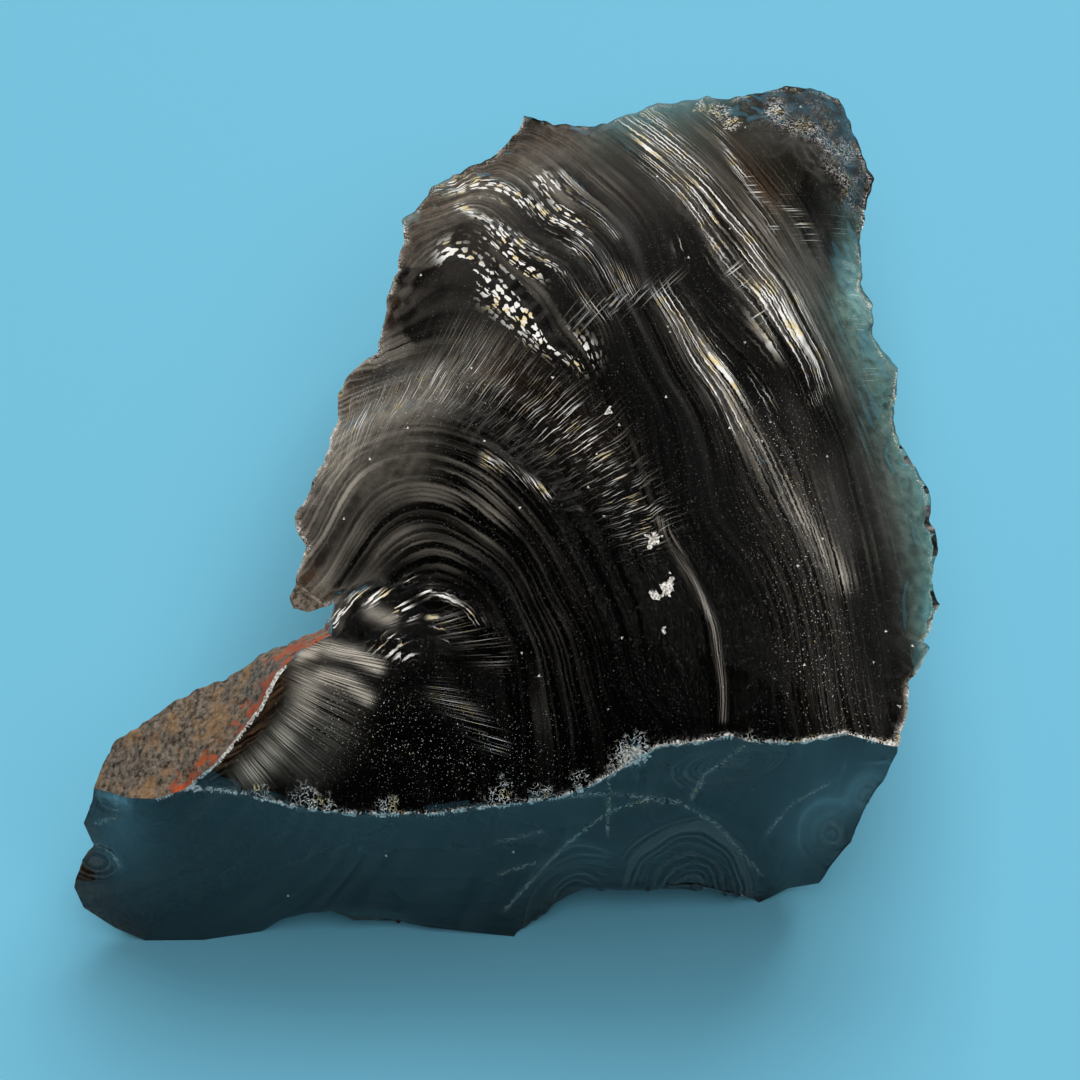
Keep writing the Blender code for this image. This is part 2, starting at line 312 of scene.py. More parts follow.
@dataclass
class MainFace:
    """The broad conchoidal face: ripples round one focus, a bowl, a ledge, a crest and hackles."""

    guides: dict[float, list[Point]] = field(default_factory=lambda: {
        8: [(-12.5, 3.0), (-10.0, 5.5), (-6.5, 7.0), (-2.5, 4.5), (-0.5, 0.5), (0.5, -5.5)],
        11: [(-14.0, 4.5), (-11.5, 8.5), (-8.0, 10.5), (-3.5, 8.5), (0.5, 3.5), (2.5, -1.5), (3.5, -6.5)],
        15: [(-15.5, 9.0), (-13.0, 13.0), (-8.0, 14.5), (-2.5, 12.5), (2.5, 6.0), (5.0, 0.5), (7.0, -6.0)],
        20: [(-14.5, 16.0), (-9.5, 18.0), (-4.5, 17.5), (0.5, 14.5), (4.5, 8.5), (7.0, 2.5), (9.5, -5.0)],
        27: [(-11.5, 22.5), (-7.0, 27.0), (-2.5, 24.5), (0.5, 20.5), (4.0, 15.0), (7.5, 8.0), (9.5, 1.0),
             (11.0, -5.0)],
        30: [(-9.5, 29.5), (-5.5, 31.0), (1.5, 26.5), (4.5, 22.0), (7.0, 16.5), (8.5, 8.0), (10.0, 5.5),
             (11.5, 1.5), (12.0, -5.0)],
        34: [(-7.0, 32.5), (-3.0, 33.5), (0.5, 30.0), (5.5, 24.5), (8.5, 18.0), (10.5, 12.5), (13.0, 6.0),
             (15.0, 0.5), (15.5, -5.0)],
        38: [(-2.0, 36.5), (3.5, 32.5), (8.0, 24.5), (10.5, 20.0), (13.5, 15.0), (16.5, 8.5), (18.5, 2.5),
             (19.5, -4.5)],
        42: [(5.0, 37.5), (11.0, 32.0), (14.0, 28.0), (16.5, 24.5), (19.0, 19.5), (21.0, 14.0),
             (22.5, 7.5), (23.5, 1.0)],
        47: [(11.5, 39.0), (16.0, 33.5), (19.5, 27.5), (22.0, 22.0), (24.0, 17.0)],
        52: [(18.0, 40.0), (21.0, 36.0), (23.5, 31.5)],
    })
    hackle_centre: Point = (-17.7, -0.5)
    fan_centre: Point = (-26.0, 3.0)
    fan_corner: Point = (-8.8, 1.2)
    ladder_phase: float = 43.6
    swells: tuple[Swell, ...] = (
        Swell(((-13.5, 22.5), (-7.0, 27.0), (-2.5, 24.5), (0.5, 20.5), (3.0, 17.0)), 0.17, 4.5, 1.2),
        Swell(((-10.0, 28.5), (-6.5, 30.5), (-3.0, 29.0), (1.5, 26.0), (4.5, 21.5)), 0.09, 2.0, 0.8),
        Swell(((-7.0, 32.0), (-3.0, 32.5), (0.5, 30.0), (5.5, 24.0)), 0.06, 2.0, 0.8),
        Swell(((-0.5, 35.0), (1.5, 33.5), (4.0, 30.0), (6.0, 25.0)), 0.05, 1.5, 0.7),
        Swell(((4.0, 37.5), (7.5, 33.0), (11.0, 28.5), (14.0, 23.5), (17.0, 17.5)), 0.07, 2.0, 0.8),
        Swell(((6.0, 38.5), (10.5, 32.5), (14.0, 28.0), (16.5, 24.0), (20.0, 16.5)), 0.07, 1.6, 0.8),
        Swell(((7.0, 26.0), (10.0, 20.5), (13.5, 14.5), (16.5, 9.0)), 0.11, 2.0, 0.8),
        Swell(((12.5, 15.5), (15.5, 10.5), (18.5, 5.0), (20.0, -1.0)), 0.10, 2.0, 0.9),
        Swell(((-14.5, 13.5), (-12.0, 14.8), (-8.0, 15.0), (-4.0, 13.8), (-1.0, 11.5), (3.0, 6.5)), 0.30, 3.2, 2.6),
        Swell(((-5.0, 14.0), (-2.5, 12.8), (-0.5, 11.2), (1.5, 9.0)), 0.14, 1.0, 0.6, 1.0),
        Swell(((-13.5, 3.3), (-10.5, 4.2), (-7.5, 4.0), (-4.0, 2.6), (-2.0, 1.0)), 0.24, 1.2, 0.9, 1.2),
        Swell(((-12.0, 1.5), (-10.0, 1.6), (-7.5, -0.4)), 0.14, 0.8, 0.6, 0.8),
    )
    bead_mm: float = 0.5
    ledge: tuple[Point, ...] = ((3.5, 21.0), (6.5, 14.5), (8.5, 8.5), (10.0, 6.0), (11.5, 2.0), (12.0, -2.5),
                                (12.0, -7.0))
    ledge_height: float = 0.30
    ledge_width: float = 0.8
    # Where the ripples run stronger, and where white lines are painted as highlights that stand in for glints.
    streaks: tuple[Zone, ...] = (
        Zone(((6.2, 39.0), (8.2, 34.6), (11.0, 30.9), (13.1, 27.8), (15.2, 24.5), (16.6, 21.0)), 1.05, 1.0),
        Zone(((8.5, 37.5), (11.0, 33.5), (14.0, 29.5), (16.0, 25.2), (17.6, 21.7), (19.5, 17.6)), 0.55, 0.75),
        Zone(((15.2, 24.5), (16.6, 21.6), (17.8, 18.9), (18.9, 16.7)), 0.35, 1.0),
        Zone(((17.6, 23.8), (18.7, 21.7), (19.8, 19.6)), 0.35, 0.9),
        Zone(((8.5, 24.0), (10.7, 21.2), (12.7, 19.0), (14.3, 17.2), (15.1, 16.4)), 0.75, 1.0),
        Zone(((9.8, 21.3), (10.7, 19.3), (12.0, 16.7), (13.3, 14.8)), 0.4, 1.0),
        Zone(((11.6, 39.2), (14.1, 33.5), (16.3, 29.0)), 0.35, 0.7),
        Zone(((1.2, 33.3), (3.5, 30.7), (5.2, 28.6)), 0.35, 0.7),
        Zone(((2.7, 27.9), (4.4, 26.0), (5.8, 24.7)), 0.7, 1.0),
        Zone(((-6.1, 31.0), (-3.1, 29.2), (-0.7, 27.5), (1.4, 25.6), (3.0, 23.6), (4.4, 22.5)), 0.3, 0.7),
        Zone(((9.9, 27.7), (11.6, 25.8), (13.0, 23.6)), 0.5, 0.8),
        Zone(((-6.9, 4.2), (-3.9, 2.2)), 0.35, 1.0),
        Zone(((-6.9, 2.6), (-5.8, 1.2)), 0.3, 0.8),
        Zone(((-10.8, 0.7), (-8.0, -0.2)), 0.3, 1.0),
        Zone(((-9.9, 1.4), (-8.4, 0.7)), 0.3, 1.0),
        Zone(((-3.6, 12.6), (-1.3, 11.4), (0.6, 10.2)), 0.35, 1.0),
    )
    # Where highlight dashes are painted along the ripples, standing in for glints.
    beads: tuple[Zone, ...] = (
        Zone(((-7.7, 32.6), (-4.2, 32.6), (-2.0, 31.5), (-0.3, 30.5), (1.0, 29.4), (2.7, 27.9)), 0.55, 1.2),
        Zone(((-6.1, 31.0), (-3.1, 29.2), (-0.7, 27.5), (1.4, 25.6)), 0.3, 0.9),
        Zone(((-3.4, 28.5), (-1.9, 26.9), (-0.9, 25.8)), 0.9, 1.2),
        Zone(((-6.5, 27.4), (-4.1, 25.4), (-1.9, 22.9), (0.1, 21.1), (2.7, 19.9)), 0.95, 1.3),
        Zone(((-0.2, 32.9), (1.0, 31.7), (2.1, 29.8), (2.7, 27.9)), 0.6, 1.2),
        Zone(((-13.5, 2.3), (-12.2, 3.7), (-11.1, 3.8), (-9.6, 3.6), (-8.4, 2.8)), 0.4, 1.4),
        Zone(((-8.3, 4.7), (-7.3, 4.2)), 0.35, 1.3),
    )
    # Where hackles run stronger, and where their white lines are painted as highlights.
    hackles: tuple[Zone, ...] = (
        Zone(((-4.9, 19.4), (-1.3, 16.7), (2.6, 14.3)), 2.2, 0.42),
        Zone(((1.3, 15.3), (3.3, 13.3), (5.2, 11.3), (7.0, 8.7)), 1.5, 0.6),
        Zone(((2.7, 22.5), (6.1, 24.0), (9.5, 24.7)), 0.9, 0.35),
        Zone(((13.3, 26.3), (14.3, 24.5), (15.3, 22.3)), 0.55, 0.9),
        Zone(((14.6, 32.9), (15.6, 31.2), (16.6, 29.3)), 0.38, 0.8),
        Zone(((17.3, 31.0), (18.3, 29.5), (19.5, 27.6)), 0.5, 0.6),
        Zone(((-13.0, 15.5), (-10.0, 17.0), (-6.5, 18.0)), 1.3, 0.6),
        Zone(((-6.3, -2.1), (-2.5, -5.6)), 0.6, 0.9),
        Zone(((-5.7, 1.9), (-2.5, 0.1)), 0.7, 0.7),
        Zone(((21.0, 30.0), (22.3, 25.0), (23.0, 17.0)), 0.8, 0.12),
    )
    # Painted gray sheen, streaked along the ripples, standing in for reflected light.
    gray_sheen: tuple[Zone, ...] = (
        Zone(((6.8, 39.0), (9.4, 34.5), (12.6, 30.0), (15.0, 25.5), (16.6, 22.0)), 1.5, 0.30),
        Zone(((9.4, 22.2), (12.0, 18.7), (13.5, 15.5), (16.4, 10.6), (18.2, 7.9), (20.4, 4.6)), 0.7, 0.42),
        Zone(((-10.5, 27.0), (-7.0, 31.0), (-2.8, 34.5), (1.4, 36.7)), 2.6, 0.09),
        Zone(((16.0, 31.0), (18.0, 26.0), (21.0, 19.0)), 2.2, 0.06),
        Zone(((13.5, 37.5), (14.5, 34.0), (16.5, 31.5)), 1.0, 0.14),
        Zone(((-2.0, 18.5), (1.5, 15.8), (4.0, 13.5)), 2.0, 0.05),
        Zone(((16.0, 12.0), (18.0, 4.0), (19.5, -3.5)), 2.5, 0.05),
        Zone(((8.0, 8.8), (8.9, 7.3), (10.4, 4.3), (11.5, 2.1), (12.0, -1.5), (12.1, -4.0)), 0.2, 0.35),
        Zone(((-16.6, -1.5), (-18.0, -4.2), (-19.9, -6.4), (-21.3, -7.6)), 0.45, 0.22),
    )
    # Painted gray sheen on the fan and tongues, streaked across the ripples, standing in for reflected light.
    sheen: tuple[Zone, ...] = (
        Zone(((-14.9, -1.6), (-15.2, -3.4), (-16.8, -5.6), (-18.6, -7.6)), 0.9, 0.75),
        Zone(((-13.4, -2.7), (-13.4, -4.6), (-15.0, -6.5)), 1.6, 0.20),
        Zone(((-15.4, 0.1), (-14.0, 0.7), (-12.0, 0.3), (-10.4, -0.6)), 0.42, 0.9),
        Zone(((-13.9, -1.0), (-12.2, -1.4), (-11.0, -2.5)), 0.42, 0.8),
        Zone(((-11.0, 3.0), (-9.6, 2.4)), 0.45, 0.5),
        Zone(((-14.5, 13.0), (-10.6, 16.2), (-7.3, 18.0), (-4.0, 19.6)), 1.8, 0.20),
    )
    # Painted gray sheen in bands along the ripples, standing in for reflected light.
    arcs: tuple[Zone, ...] = (
        Zone(((-16.5, 6.0), (-15.0, 9.5), (-11.5, 12.0), (-7.0, 12.0), (-3.5, 10.0)), 2.2, 0.19),
        Zone(((-14.0, 4.5), (-12.0, 7.0), (-9.0, 7.8), (-6.0, 6.8)), 1.2, 0.15),
        Zone(((-3.5, 9.5), (-0.5, 5.5), (1.0, 1.0), (1.5, -4.0)), 2.2, 0.03),
        Zone(((-15.5, 12.0), (-13.0, 18.0), (-11.5, 21.0)), 2.2, 0.22),
        Zone(((-11.0, 29.0), (-7.0, 32.0), (-1.0, 33.5), (3.0, 31.5)), 2.6, 0.16),
        Zone(((-5.0, 28.0), (-1.0, 26.0), (3.0, 21.5)), 1.4, 0.12),
        Zone(((11.5, 36.5), (15.0, 29.5), (18.0, 22.5)), 1.6, 0.12),
        Zone(((9.5, 22.0), (14.0, 14.0)), 1.6, 0.10),
        Zone(((12.5, 36.0), (17.0, 28.0), (20.5, 20.0), (22.5, 8.0)), 3.0, 0.05),
    )
    # Frosted glass: painted gray sheen on the left shoulder and in the bowl, a dark dull film at the far corner, and on
    # the right rim a film tinted for light seen through it.
    frost_and_sheen: tuple[Zone, ...] = (
        Zone(((-11.5, 25.5), (-9.5, 29.0), (-6.5, 31.5), (-1.5, 34.5), (2.0, 36.5)), 2.0, 0.10),
        Zone(((-14.0, 19.0), (-12.0, 22.0)), 1.2, 0.10),
        Zone(((17.5, 38.8), (20.4, 38.4), (21.8, 35.8), (22.8, 33.0)), 1.9, 0.85),
        Zone(((22.8, 32.0), (22.8, 29.0), (22.4, 26.0), (22.4, 24.0)), 1.3, 0.45),
        Zone(((22.4, 23.0), (23.8, 19.0), (24.8, 14.8), (26.0, 12.0), (26.8, 6.0), (27.0, 2.0)), 2.2, 0.26),
        Zone(((-16.2, 7.5), (-13.5, 11.0), (-9.0, 12.8)), 1.8, 0.09),
        Zone(((-14.5, 13.5), (-11.5, 15.5), (-7.5, 17.2)), 1.5, 0.13),
    )
    # Patches kept black: no painted sheen here.
    sheenless: tuple[Zone, ...] = (
        Zone(((-5.8, 28.6), (-4.6, 28.0)), 0.9, 1.0),
        Zone(((-10.5, 26.0), (-7.5, 25.5), (-4.8, 24.3), (-2.7, 21.8)), 0.8, 1.0),
        Zone(((-10.8, 23.6), (-8.5, 21.8), (-5.5, 21.0)), 1.2, 1.0),
    )
    # Painted light: the gray-green of the floor's light seen through the thin right rim.
    backlit_tint: tuple[Zone, ...] = (
        Zone(((22.6, 31.0), (22.0, 27.0), (21.8, 23.5), (23.3, 19.0), (24.3, 14.8), (25.6, 12.0), (26.5, 6.0),
              (26.8, 2.0)), 3.2, 1.0),
    )
    smoky: tuple[Zone, ...] = (
        Zone(((17.5, 38.8), (20.4, 38.4), (21.8, 35.8), (22.8, 33.0)), 4.2, 1.2),
    )
    # Where the painted sheen turns brown.
    warm: tuple[Zone, ...] = (
        Zone(((13.5, 37.5), (14.5, 34.0), (16.5, 31.5)), 1.3, 0.9),
        Zone(((-2.0, 18.5), (1.5, 15.8), (4.0, 13.5)), 2.2, 1.0),
        Zone(((-16.6, -1.5), (-18.0, -4.2), (-19.9, -6.4), (-21.3, -7.6)), 0.5, 1.2),
        Zone(((-10.5, 28.0), (-7.0, 32.5), (-2.8, 35.5), (1.4, 37.0)), 2.0, 0.5),
    )
    dusty: tuple[Zone, ...] = (
        Zone(((16.0, 14.0), (17.5, 6.0), (19.0, -3.5)), 2.6, 0.8),
        Zone(((-12.0, -4.5), (-8.0, -6.0), (-4.0, -7.0), (-1.0, -6.5)), 2.6, 1.0),
        Zone(((-12.5, 19.0), (-8.0, 17.0), (-5.0, 17.5)), 2.0, 0.5),
    )

    def __post_init__(self) -> None:
        """Fits the ripples' phase to the guide arcs."""
        self.phases = PlateField(self.guides)

    def along(self, points: Array) -> Array:
        """Returns how far round the hackles' centre each point lies, as millimetres on an arc."""
        beyond = self.phases.at(points) > self.ladder_phase
        in_fan = (points[:, 0] < self.fan_corner[0]) & (points[:, 1] < self.fan_corner[1])
        centre = np.where(in_fan[:, None], np.array(self.fan_centre), np.array(self.hackle_centre))
        offset = points - centre
        return np.where(beyond, points[:, 1], np.arctan2(offset[:, 1], offset[:, 0]) * 28.0)

    def sheen_kept(self, points: Array) -> Array:
        """Returns nought in the patches that stay black, free of painted sheen, with crisp ragged edges, and one around
        them.
        """
        edge = strength_of(self.sheenless, points) + 0.25 * wander(points, 0.9, 141.0)
        return 1.0 - smoothstep(0.35, 0.6, edge)

    def rise(self, points: Array) -> Array:
        """Returns the relief's height over rows of across and up, in millimetres."""
        phase = self.phases.at(points)
        along = self.along(points)
        streak = strength_of(self.streaks, points)
        hackle = strength_of(self.hackles, points)
        drift = np.column_stack([phase, points[:, 0] * 0.05, points[:, 1] * 0.05])
        broad = wander(drift, 1.7, 3.1)
        middle = wander(drift, 0.55, 7.7)
        fine = wander(drift, 0.27, 11.3)
        radial = wander(np.column_stack([along, phase * 0.12]), 0.36, 5.2)
        height = 0.13 * broad + (0.03 + 0.02 * streak) * middle + (0.006 + 0.02 * streak) * fine
        height = height + (0.004 + 0.02 * hackle) * radial
        beads = 1.0 + 0.9 * wander(np.column_stack([along, phase * 0.3]), self.bead_mm, 15.0)
        for swell in self.swells:
            height = height + swell.rise(points, beads)
        gap = path_distance(points, list(self.ledge))[0]
        run = smoothstep(21.0, 15.0, points[:, 1])
        height = height + self.ledge_height * run * (smoothstep(-self.ledge_width, 0.0, gap) - 1.0) * bell(
            np.minimum(gap, 0.0), 5.0)
        return height


@dataclass
class FrontFace:
    """The steep face under the brow, with flake scars off its foot and chips at both ends."""

    scars: tuple[Scar, ...] = (
        Scar((3.0, -18.0), (4.6, 5.6), -10.0, 0.5),
        Scar((10.5, -17.5), (6.2, 7.8), 8.0, 0.6),
        Scar((20.0, -12.5), (2.6, 3.4), 25.0, 0.3),
        Scar((22.0, -9.5), (1.6, 2.0), 0.0, 0.2),
        Scar((-28.3, -9.3), (1.7, 1.3), 0.0, 0.3, 0.6),
        Scar((-30.0, -13.8), (2.2, 1.5), -10.0, 0.22, 0.6),
        Scar((-12.0, -19.5), (4.5, 2.4), 0.0, 0.4),
        Scar((13.0, -7.0), (4.5, 1.6), 12.0, 0.12),
    )
    arc_centre: Point = (-33.0, 2.0)
    seams: tuple[tuple[Point, ...], ...] = (
        ((-2.9, -9.9), (4.6, -9.2), (9.5, -9.6)),
        ((-2.2, -17.5), (0.0, -15.2), (2.2, -12.6), (4.9, -10.4), (7.5, -9.5), (9.6, -9.8), (12.1, -11.5),
         (15.5, -15.4)),
        ((10.2, -9.6), (11.1, -7.8), (13.5, -5.8)),
        ((15.5, -12.0), (17.0, -9.8), (19.3, -8.4)),
        ((4.8, -7.6), (4.8, -12.1)),
        ((-2.6, -12.5), (0.4, -11.8)),
        ((-2.6, -14.8), (0.0, -14.0)),
        ((-31.6, -12.6), (-30.4, -12.2), (-29.0, -12.8), (-28.2, -14.0)),
        ((-29.8, -7.8), (-28.0, -8.5), (-28.2, -10.5), (-29.6, -11.0)),
    )
    seam_width: float = 0.16

    def phase(self, points: Array) -> Array:
        """Returns how far out each point lies on the ripples of its scar, or of the whole face."""
        phase = np.hypot(*(points - np.array(self.arc_centre)).T)
        for scar in self.scars:
            reach = scar.reach(points)
            phase = np.where(reach < 1.0, 1.8 * reach * scar.radii[0], phase)
        return phase

    def film(self, points: Array) -> Array:
        """Returns how dull the face is: faintly all over, and more in its scars."""
        dull = np.full(len(points), 0.03)
        for scar in self.scars:
            dull = np.maximum(dull, 0.10 * smoothstep(1.03, 0.9, scar.reach(points)))
        return dull

    def cracked(self, points: Array) -> Array:
        """Returns how close each point lies to a seam between two flakes, from nought to one."""
        share = np.zeros(len(points))
        for seam in self.seams:
            share = np.maximum(share, bell(path_distance(points, list(seam))[0], self.seam_width))
        return share

    def rise(self, points: Array) -> Array:
        """Returns the relief's height over rows of across and up, in millimetres."""
        height = 0.02 * wander(points, 5.0, 2.0)
        reach = np.hypot(*(points - np.array(self.arc_centre)).T)
        rings = np.column_stack([reach, points[:, 0] * 0.04])
        height = height + 0.012 * wander(rings, 1.6, 9.0) + 0.004 * wander(rings, 0.6, 4.0)
        for scar in self.scars:
            height = height + scar.rise(points)
        crack = path_distance(points, [(-2.6, -10.0), (-2.4, -12.5), (-1.5, -15.5), (-0.5, -18.5)])[0]
        return height - 0.05 * bell(crack, 0.18)


@dataclass
class ThinEdges:
    """The stone's thin rim: nibbled all round, flaked on the right, lumpy at the far corner."""

    flakes: tuple[Scar, ...] = (
        Scar((25.0, 13.0), (1.3, 1.9), 10.0, 0.16, 0.5),
        Scar((26.6, 8.5), (1.5, 3.2), 5.0, 0.20, 0.6),
        Scar((25.6, 3.0), (1.4, 2.8), -12.0, 0.18, 0.6),
        Scar((23.8, 20.0), (1.5, 2.2), 15.0, 0.14, 0.6),
        Scar((23.3, 25.0), (1.2, 1.8), 0.0, 0.14, 0.5),
        Scar((20.7, 35.5), (2.6, 3.2), 30.0, 0.20, 0.9),
        Scar((23.3, 31.0), (1.6, 2.4), -10.0, 0.20, 0.7),
        Scar((17.6, 37.6), (1.6, 3.4), -25.0, 0.12, 0.8),
    )
    lumpy: tuple[Zone, ...] = (
        Zone(((15.5, 39.0), (18.5, 38.5), (21.0, 36.5), (22.5, 33.0)), 2.2, 0.26),
        Zone(((23.0, 30.0), (23.5, 24.0), (24.5, 16.0), (26.5, 9.0), (26.0, 2.0)), 1.6, 0.10),
        Zone(((-9.0, 28.0), (-8.0, 33.0), (-2.0, 36.5), (5.0, 38.5)), 0.8, 0.12),
    )
    nibble: float = 0.19
    reach: float = 1.3

    def rise(self, points: Array) -> Array:
        """Returns the flakes' height over rows of across and up, in millimetres."""
        folds = np.abs(wander(points, 1.1, 55.0)) + 0.5 * np.abs(wander(points, 0.5, 57.0)) - 0.25
        height = -folds * strength_of(self.lumpy, points)
        for flake in self.flakes:
            height = height + flake.rise(points)
        return height

    def shift(self, points: Array, rim: Array) -> Array:
        """Returns how far the rim is eaten away across and up, given each point's distance to it."""
        near = bell(rim, self.reach)[:, None]
        coarse = np.column_stack([wander(points, 1.7, 21.0), wander(points, 1.7, 33.0)])
        sharp = np.column_stack([wander(points, 0.7, 41.0), wander(points, 0.7, 53.0)])
        return self.nibble * near * (coarse * 1.3 + sharp)


@dataclass
class Rind:
    """The weathered skin on the toe: pitted and grainy, with the ridge's glassy lip beside it."""

    toe_brow: tuple[Point, ...] = ((-29.5, -8.5), (-27.0, -9.0), (-25.0, -9.0), (-23.0, -8.5))
    ridge: tuple[Point, ...] = ((-23.0, -8.5), (-21.0, -7.0), (-19.5, -5.0), (-18.0, -3.0), (-17.0, -1.0),
                                (-15.5, 0.5), (-13.5, 1.5), (-13.5, 3.5))

    def old_rust(self, spots: Array) -> Array:
        """Returns how rusty the old side is at rows of the stone's own coordinates."""
        return 0.62 + 0.40 * wander(spots, 5.0, 151.0)

    def rise(self, spots: Array) -> Array:
        """Returns the skin's height over rows of the stone's own coordinates, in millimetres."""
        lumps = wander(spots, 2.2, 1.0) * 0.20
        grain = wander(spots, 0.7, 2.0) * 0.13
        pits = np.abs(wander(spots, 0.36, 3.0)) * 0.08
        return lumps + grain + pits - 0.1


@dataclass
class FarSides:
    """The fresh glass that faces away: one great fracture rippling out from a blow on the brow's end."""

    blow_mm: tuple[float, float, float] = (30.0, -24.0, 30.0)
    wave_mm: float = 2.6

    def phase(self, spots: Array) -> Array:
        """Returns each spot's distance from the blow, in millimetres, a little uneven."""
        reach = np.sqrt(((spots - np.array(self.blow_mm)) ** 2).sum(axis=1))
        return reach + 0.5 * wander(spots, 6.0, 161.0)

    def film(self, spots: Array) -> Array:
        """Returns how dull the glass is at rows of the stone's own coordinates."""
        return 0.10 * np.clip(0.55 + 1.2 * wander(spots, 5.0, 163.0), 0.0, 1.2)

    def rise(self, spots: Array) -> Array:
        """Returns the sides' height over rows of the stone's own coordinates, in millimetres."""
        rings = np.column_stack([self.phase(spots), spots[:, 0] * 0.05, spots[:, 1] * 0.05])
        waves = 0.22 * wander(rings, self.wave_mm, 13.0) + 0.04 * wander(rings, 0.7, 15.0)
        return waves + 0.10 * wander(spots, 4.0, 17.0)


@dataclass
class ObsidianChunk:
    """The carved stone: a finely divided copy of its solid, with every fracture mark worked in."""

    plane: DrawingPlane = field(default_factory=DrawingPlane)
    main_face: MainFace = field(default_factory=MainFace)
    front_face: FrontFace = field(default_factory=FrontFace)
    thin_edges: ThinEdges = field(default_factory=ThinEdges)
    rind: Rind = field(default_factory=Rind)
    far_sides: FarSides = field(default_factory=FarSides)
    brow: tuple[Point, ...] = ((-30.0, -8.5), (-27.0, -9.0), (-25.0, -9.0), (-23.0, -8.5), (-19.5, -9.0),
                               (-15.5, -10.0), (-11.5, -10.5), (-6.5, -10.5), (-2.5, -10.0), (1.5, -9.5),
                               (4.0, -8.5), (6.5, -7.0), (8.0, -6.0), (10.5, -5.5), (12.5, -5.0),
                               (14.0, -5.5), (17.0, -5.5), (20.0, -5.0), (24.0, -6.0))
    crushed: tuple[tuple[float, float, float], ...] = (
        (6.5, -6.7, 0.75), (4.6, 15.9, 0.34), (7.6, 7.4, 0.55), (8.6, 4.4, 0.50), (7.7, 3.8, 0.28),
        (8.3, 1.5, 0.22),
    )
    tangles: tuple[tuple[float, float, float], ...] = (
        (6.3, -6.6, 1.5), (-2.2, -9.3, 1.2), (0.5, -9.1, 0.8), (2.9, -8.2, 0.7), (-14.9, -9.5, 1.2),
        (-13.6, -9.8, 0.8), (-9.8, -9.9, 0.8), (-18.0, -8.8, 0.7), (14.0, -5.2, 0.5),
        (11.5, 38.9, 0.7), (12.8, 38.3, 0.9), (13.8, 37.3, 0.7), (17.0, 38.6, 0.6),
    )
    old_side: float = -10.5
    brow_lift: float = 0.7
    brow_reach: float = 3.0
    cuts: int = 4
    crease_deg: float = 20.0
    sharp_deg: float = 32.0
    easing_rounds: int = 14
    seed: int = 11

    def build(self) -> bpy.types.Object:
        """Makes the piece, dresses it and ties it to the frame.

        Returns:
            The stone's object.
        """
        mesh = self.divided_copy()
        self.ease_facets(mesh)
        self.carve(mesh)
        self.sharpen(mesh)
        self.lay_skins(mesh)
        data = bpy.data.meshes.new("obsidian_surface")
        mesh.to_mesh(data)
        mesh.free()
        self.write_marks(data)
        for finish in (VolcanicGlass(), WeatheredRind(), CrushedGlass()):
            data.materials.append(finish.material())
        stone = bpy.data.objects.new("obsidian_surface", data)
        bpy.context.scene.collection.objects.link(stone)
        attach(stone, "root")
        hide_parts(NODE)
        return stone

    def divided_copy(self) -> bmesh.types.BMesh:
        """Copies the solid's mesh, joins its loose triangles and divides them evenly."""
        mesh = bmesh.new()
        mesh.from_mesh(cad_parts[NODE].data)
        bmesh.ops.remove_doubles(mesh, verts=mesh.verts[:], dist=0.002 * MM)
        bmesh.ops.subdivide_edges(mesh, edges=mesh.edges[:], cuts=self.cuts, use_grid_fill=True)
        mesh.normal_update()
        return mesh

    def ease_facets(self, mesh: bmesh.types.BMesh) -> None:
        """Smooths the flat facets into curved faces, and leaves the creases between faces crisp."""
        limit = math.radians(self.crease_deg)
        pinned = set()
        for edge in mesh.edges:
            if edge.calc_face_angle(0.0) > limit:
                pinned.update(edge.verts)
        loose = [vert for vert in mesh.verts if vert not in pinned]
        for _ in range(self.easing_rounds):
            bmesh.ops.smooth_vert(mesh, verts=loose, factor=0.5, use_axis_x=True, use_axis_y=True,
                                  use_axis_z=True)
        mesh.normal_update()

    def rim_distance(self, mesh: bmesh.types.BMesh, points: Array) -> Array:
        """Measures each point's distance to the silhouette on the drawing plane, in millimetres."""
        eye = self.plane.outward()
        rim = set()
        for edge in mesh.edges:
            first, second = edge.link_faces
            if (first.normal.dot(eye) > 0.0) != (second.normal.dot(eye) > 0.0):
                if edge.calc_face_angle(0.0) > math.radians(self.crease_deg):
                    rim.update(vert.index for vert in edge.verts)
        tree = KDTree(len(rim))
        for index in rim:
            tree.insert((points[index, 0], points[index, 1], 0.0), index)
        tree.balance()
        return np.array([tree.find((across, up, 0.0))[2] for across, up in points])

    def regions(self, points: Array, facing: Array) -> tuple[Array, Array, Array]:
        """Tells which points lie on the main face, the front face and the rind.

        Args:
            points: rows of across and up.
            facing: how squarely each point's surface looks out of the drawing plane.

        Returns:
            Three masks, in that order.
        """
        brow = np.array(self.brow)
        ridge = np.array(self.rind.ridge)
        above = points[:, 1] > np.interp(points[:, 0], brow[:, 0], brow[:, 1])
        rind = above & (points[:, 0] < -13.6) & (points[:, 1] < 2.2) & (
            points[:, 1] > np.interp(points[:, 0], ridge[:, 0], ridge[:, 1]))
        rind |= above & (points[:, 0] < ridge[0, 0])
        seen = facing > 0.0
        return seen & above & ~rind, seen & ~above, seen & rind

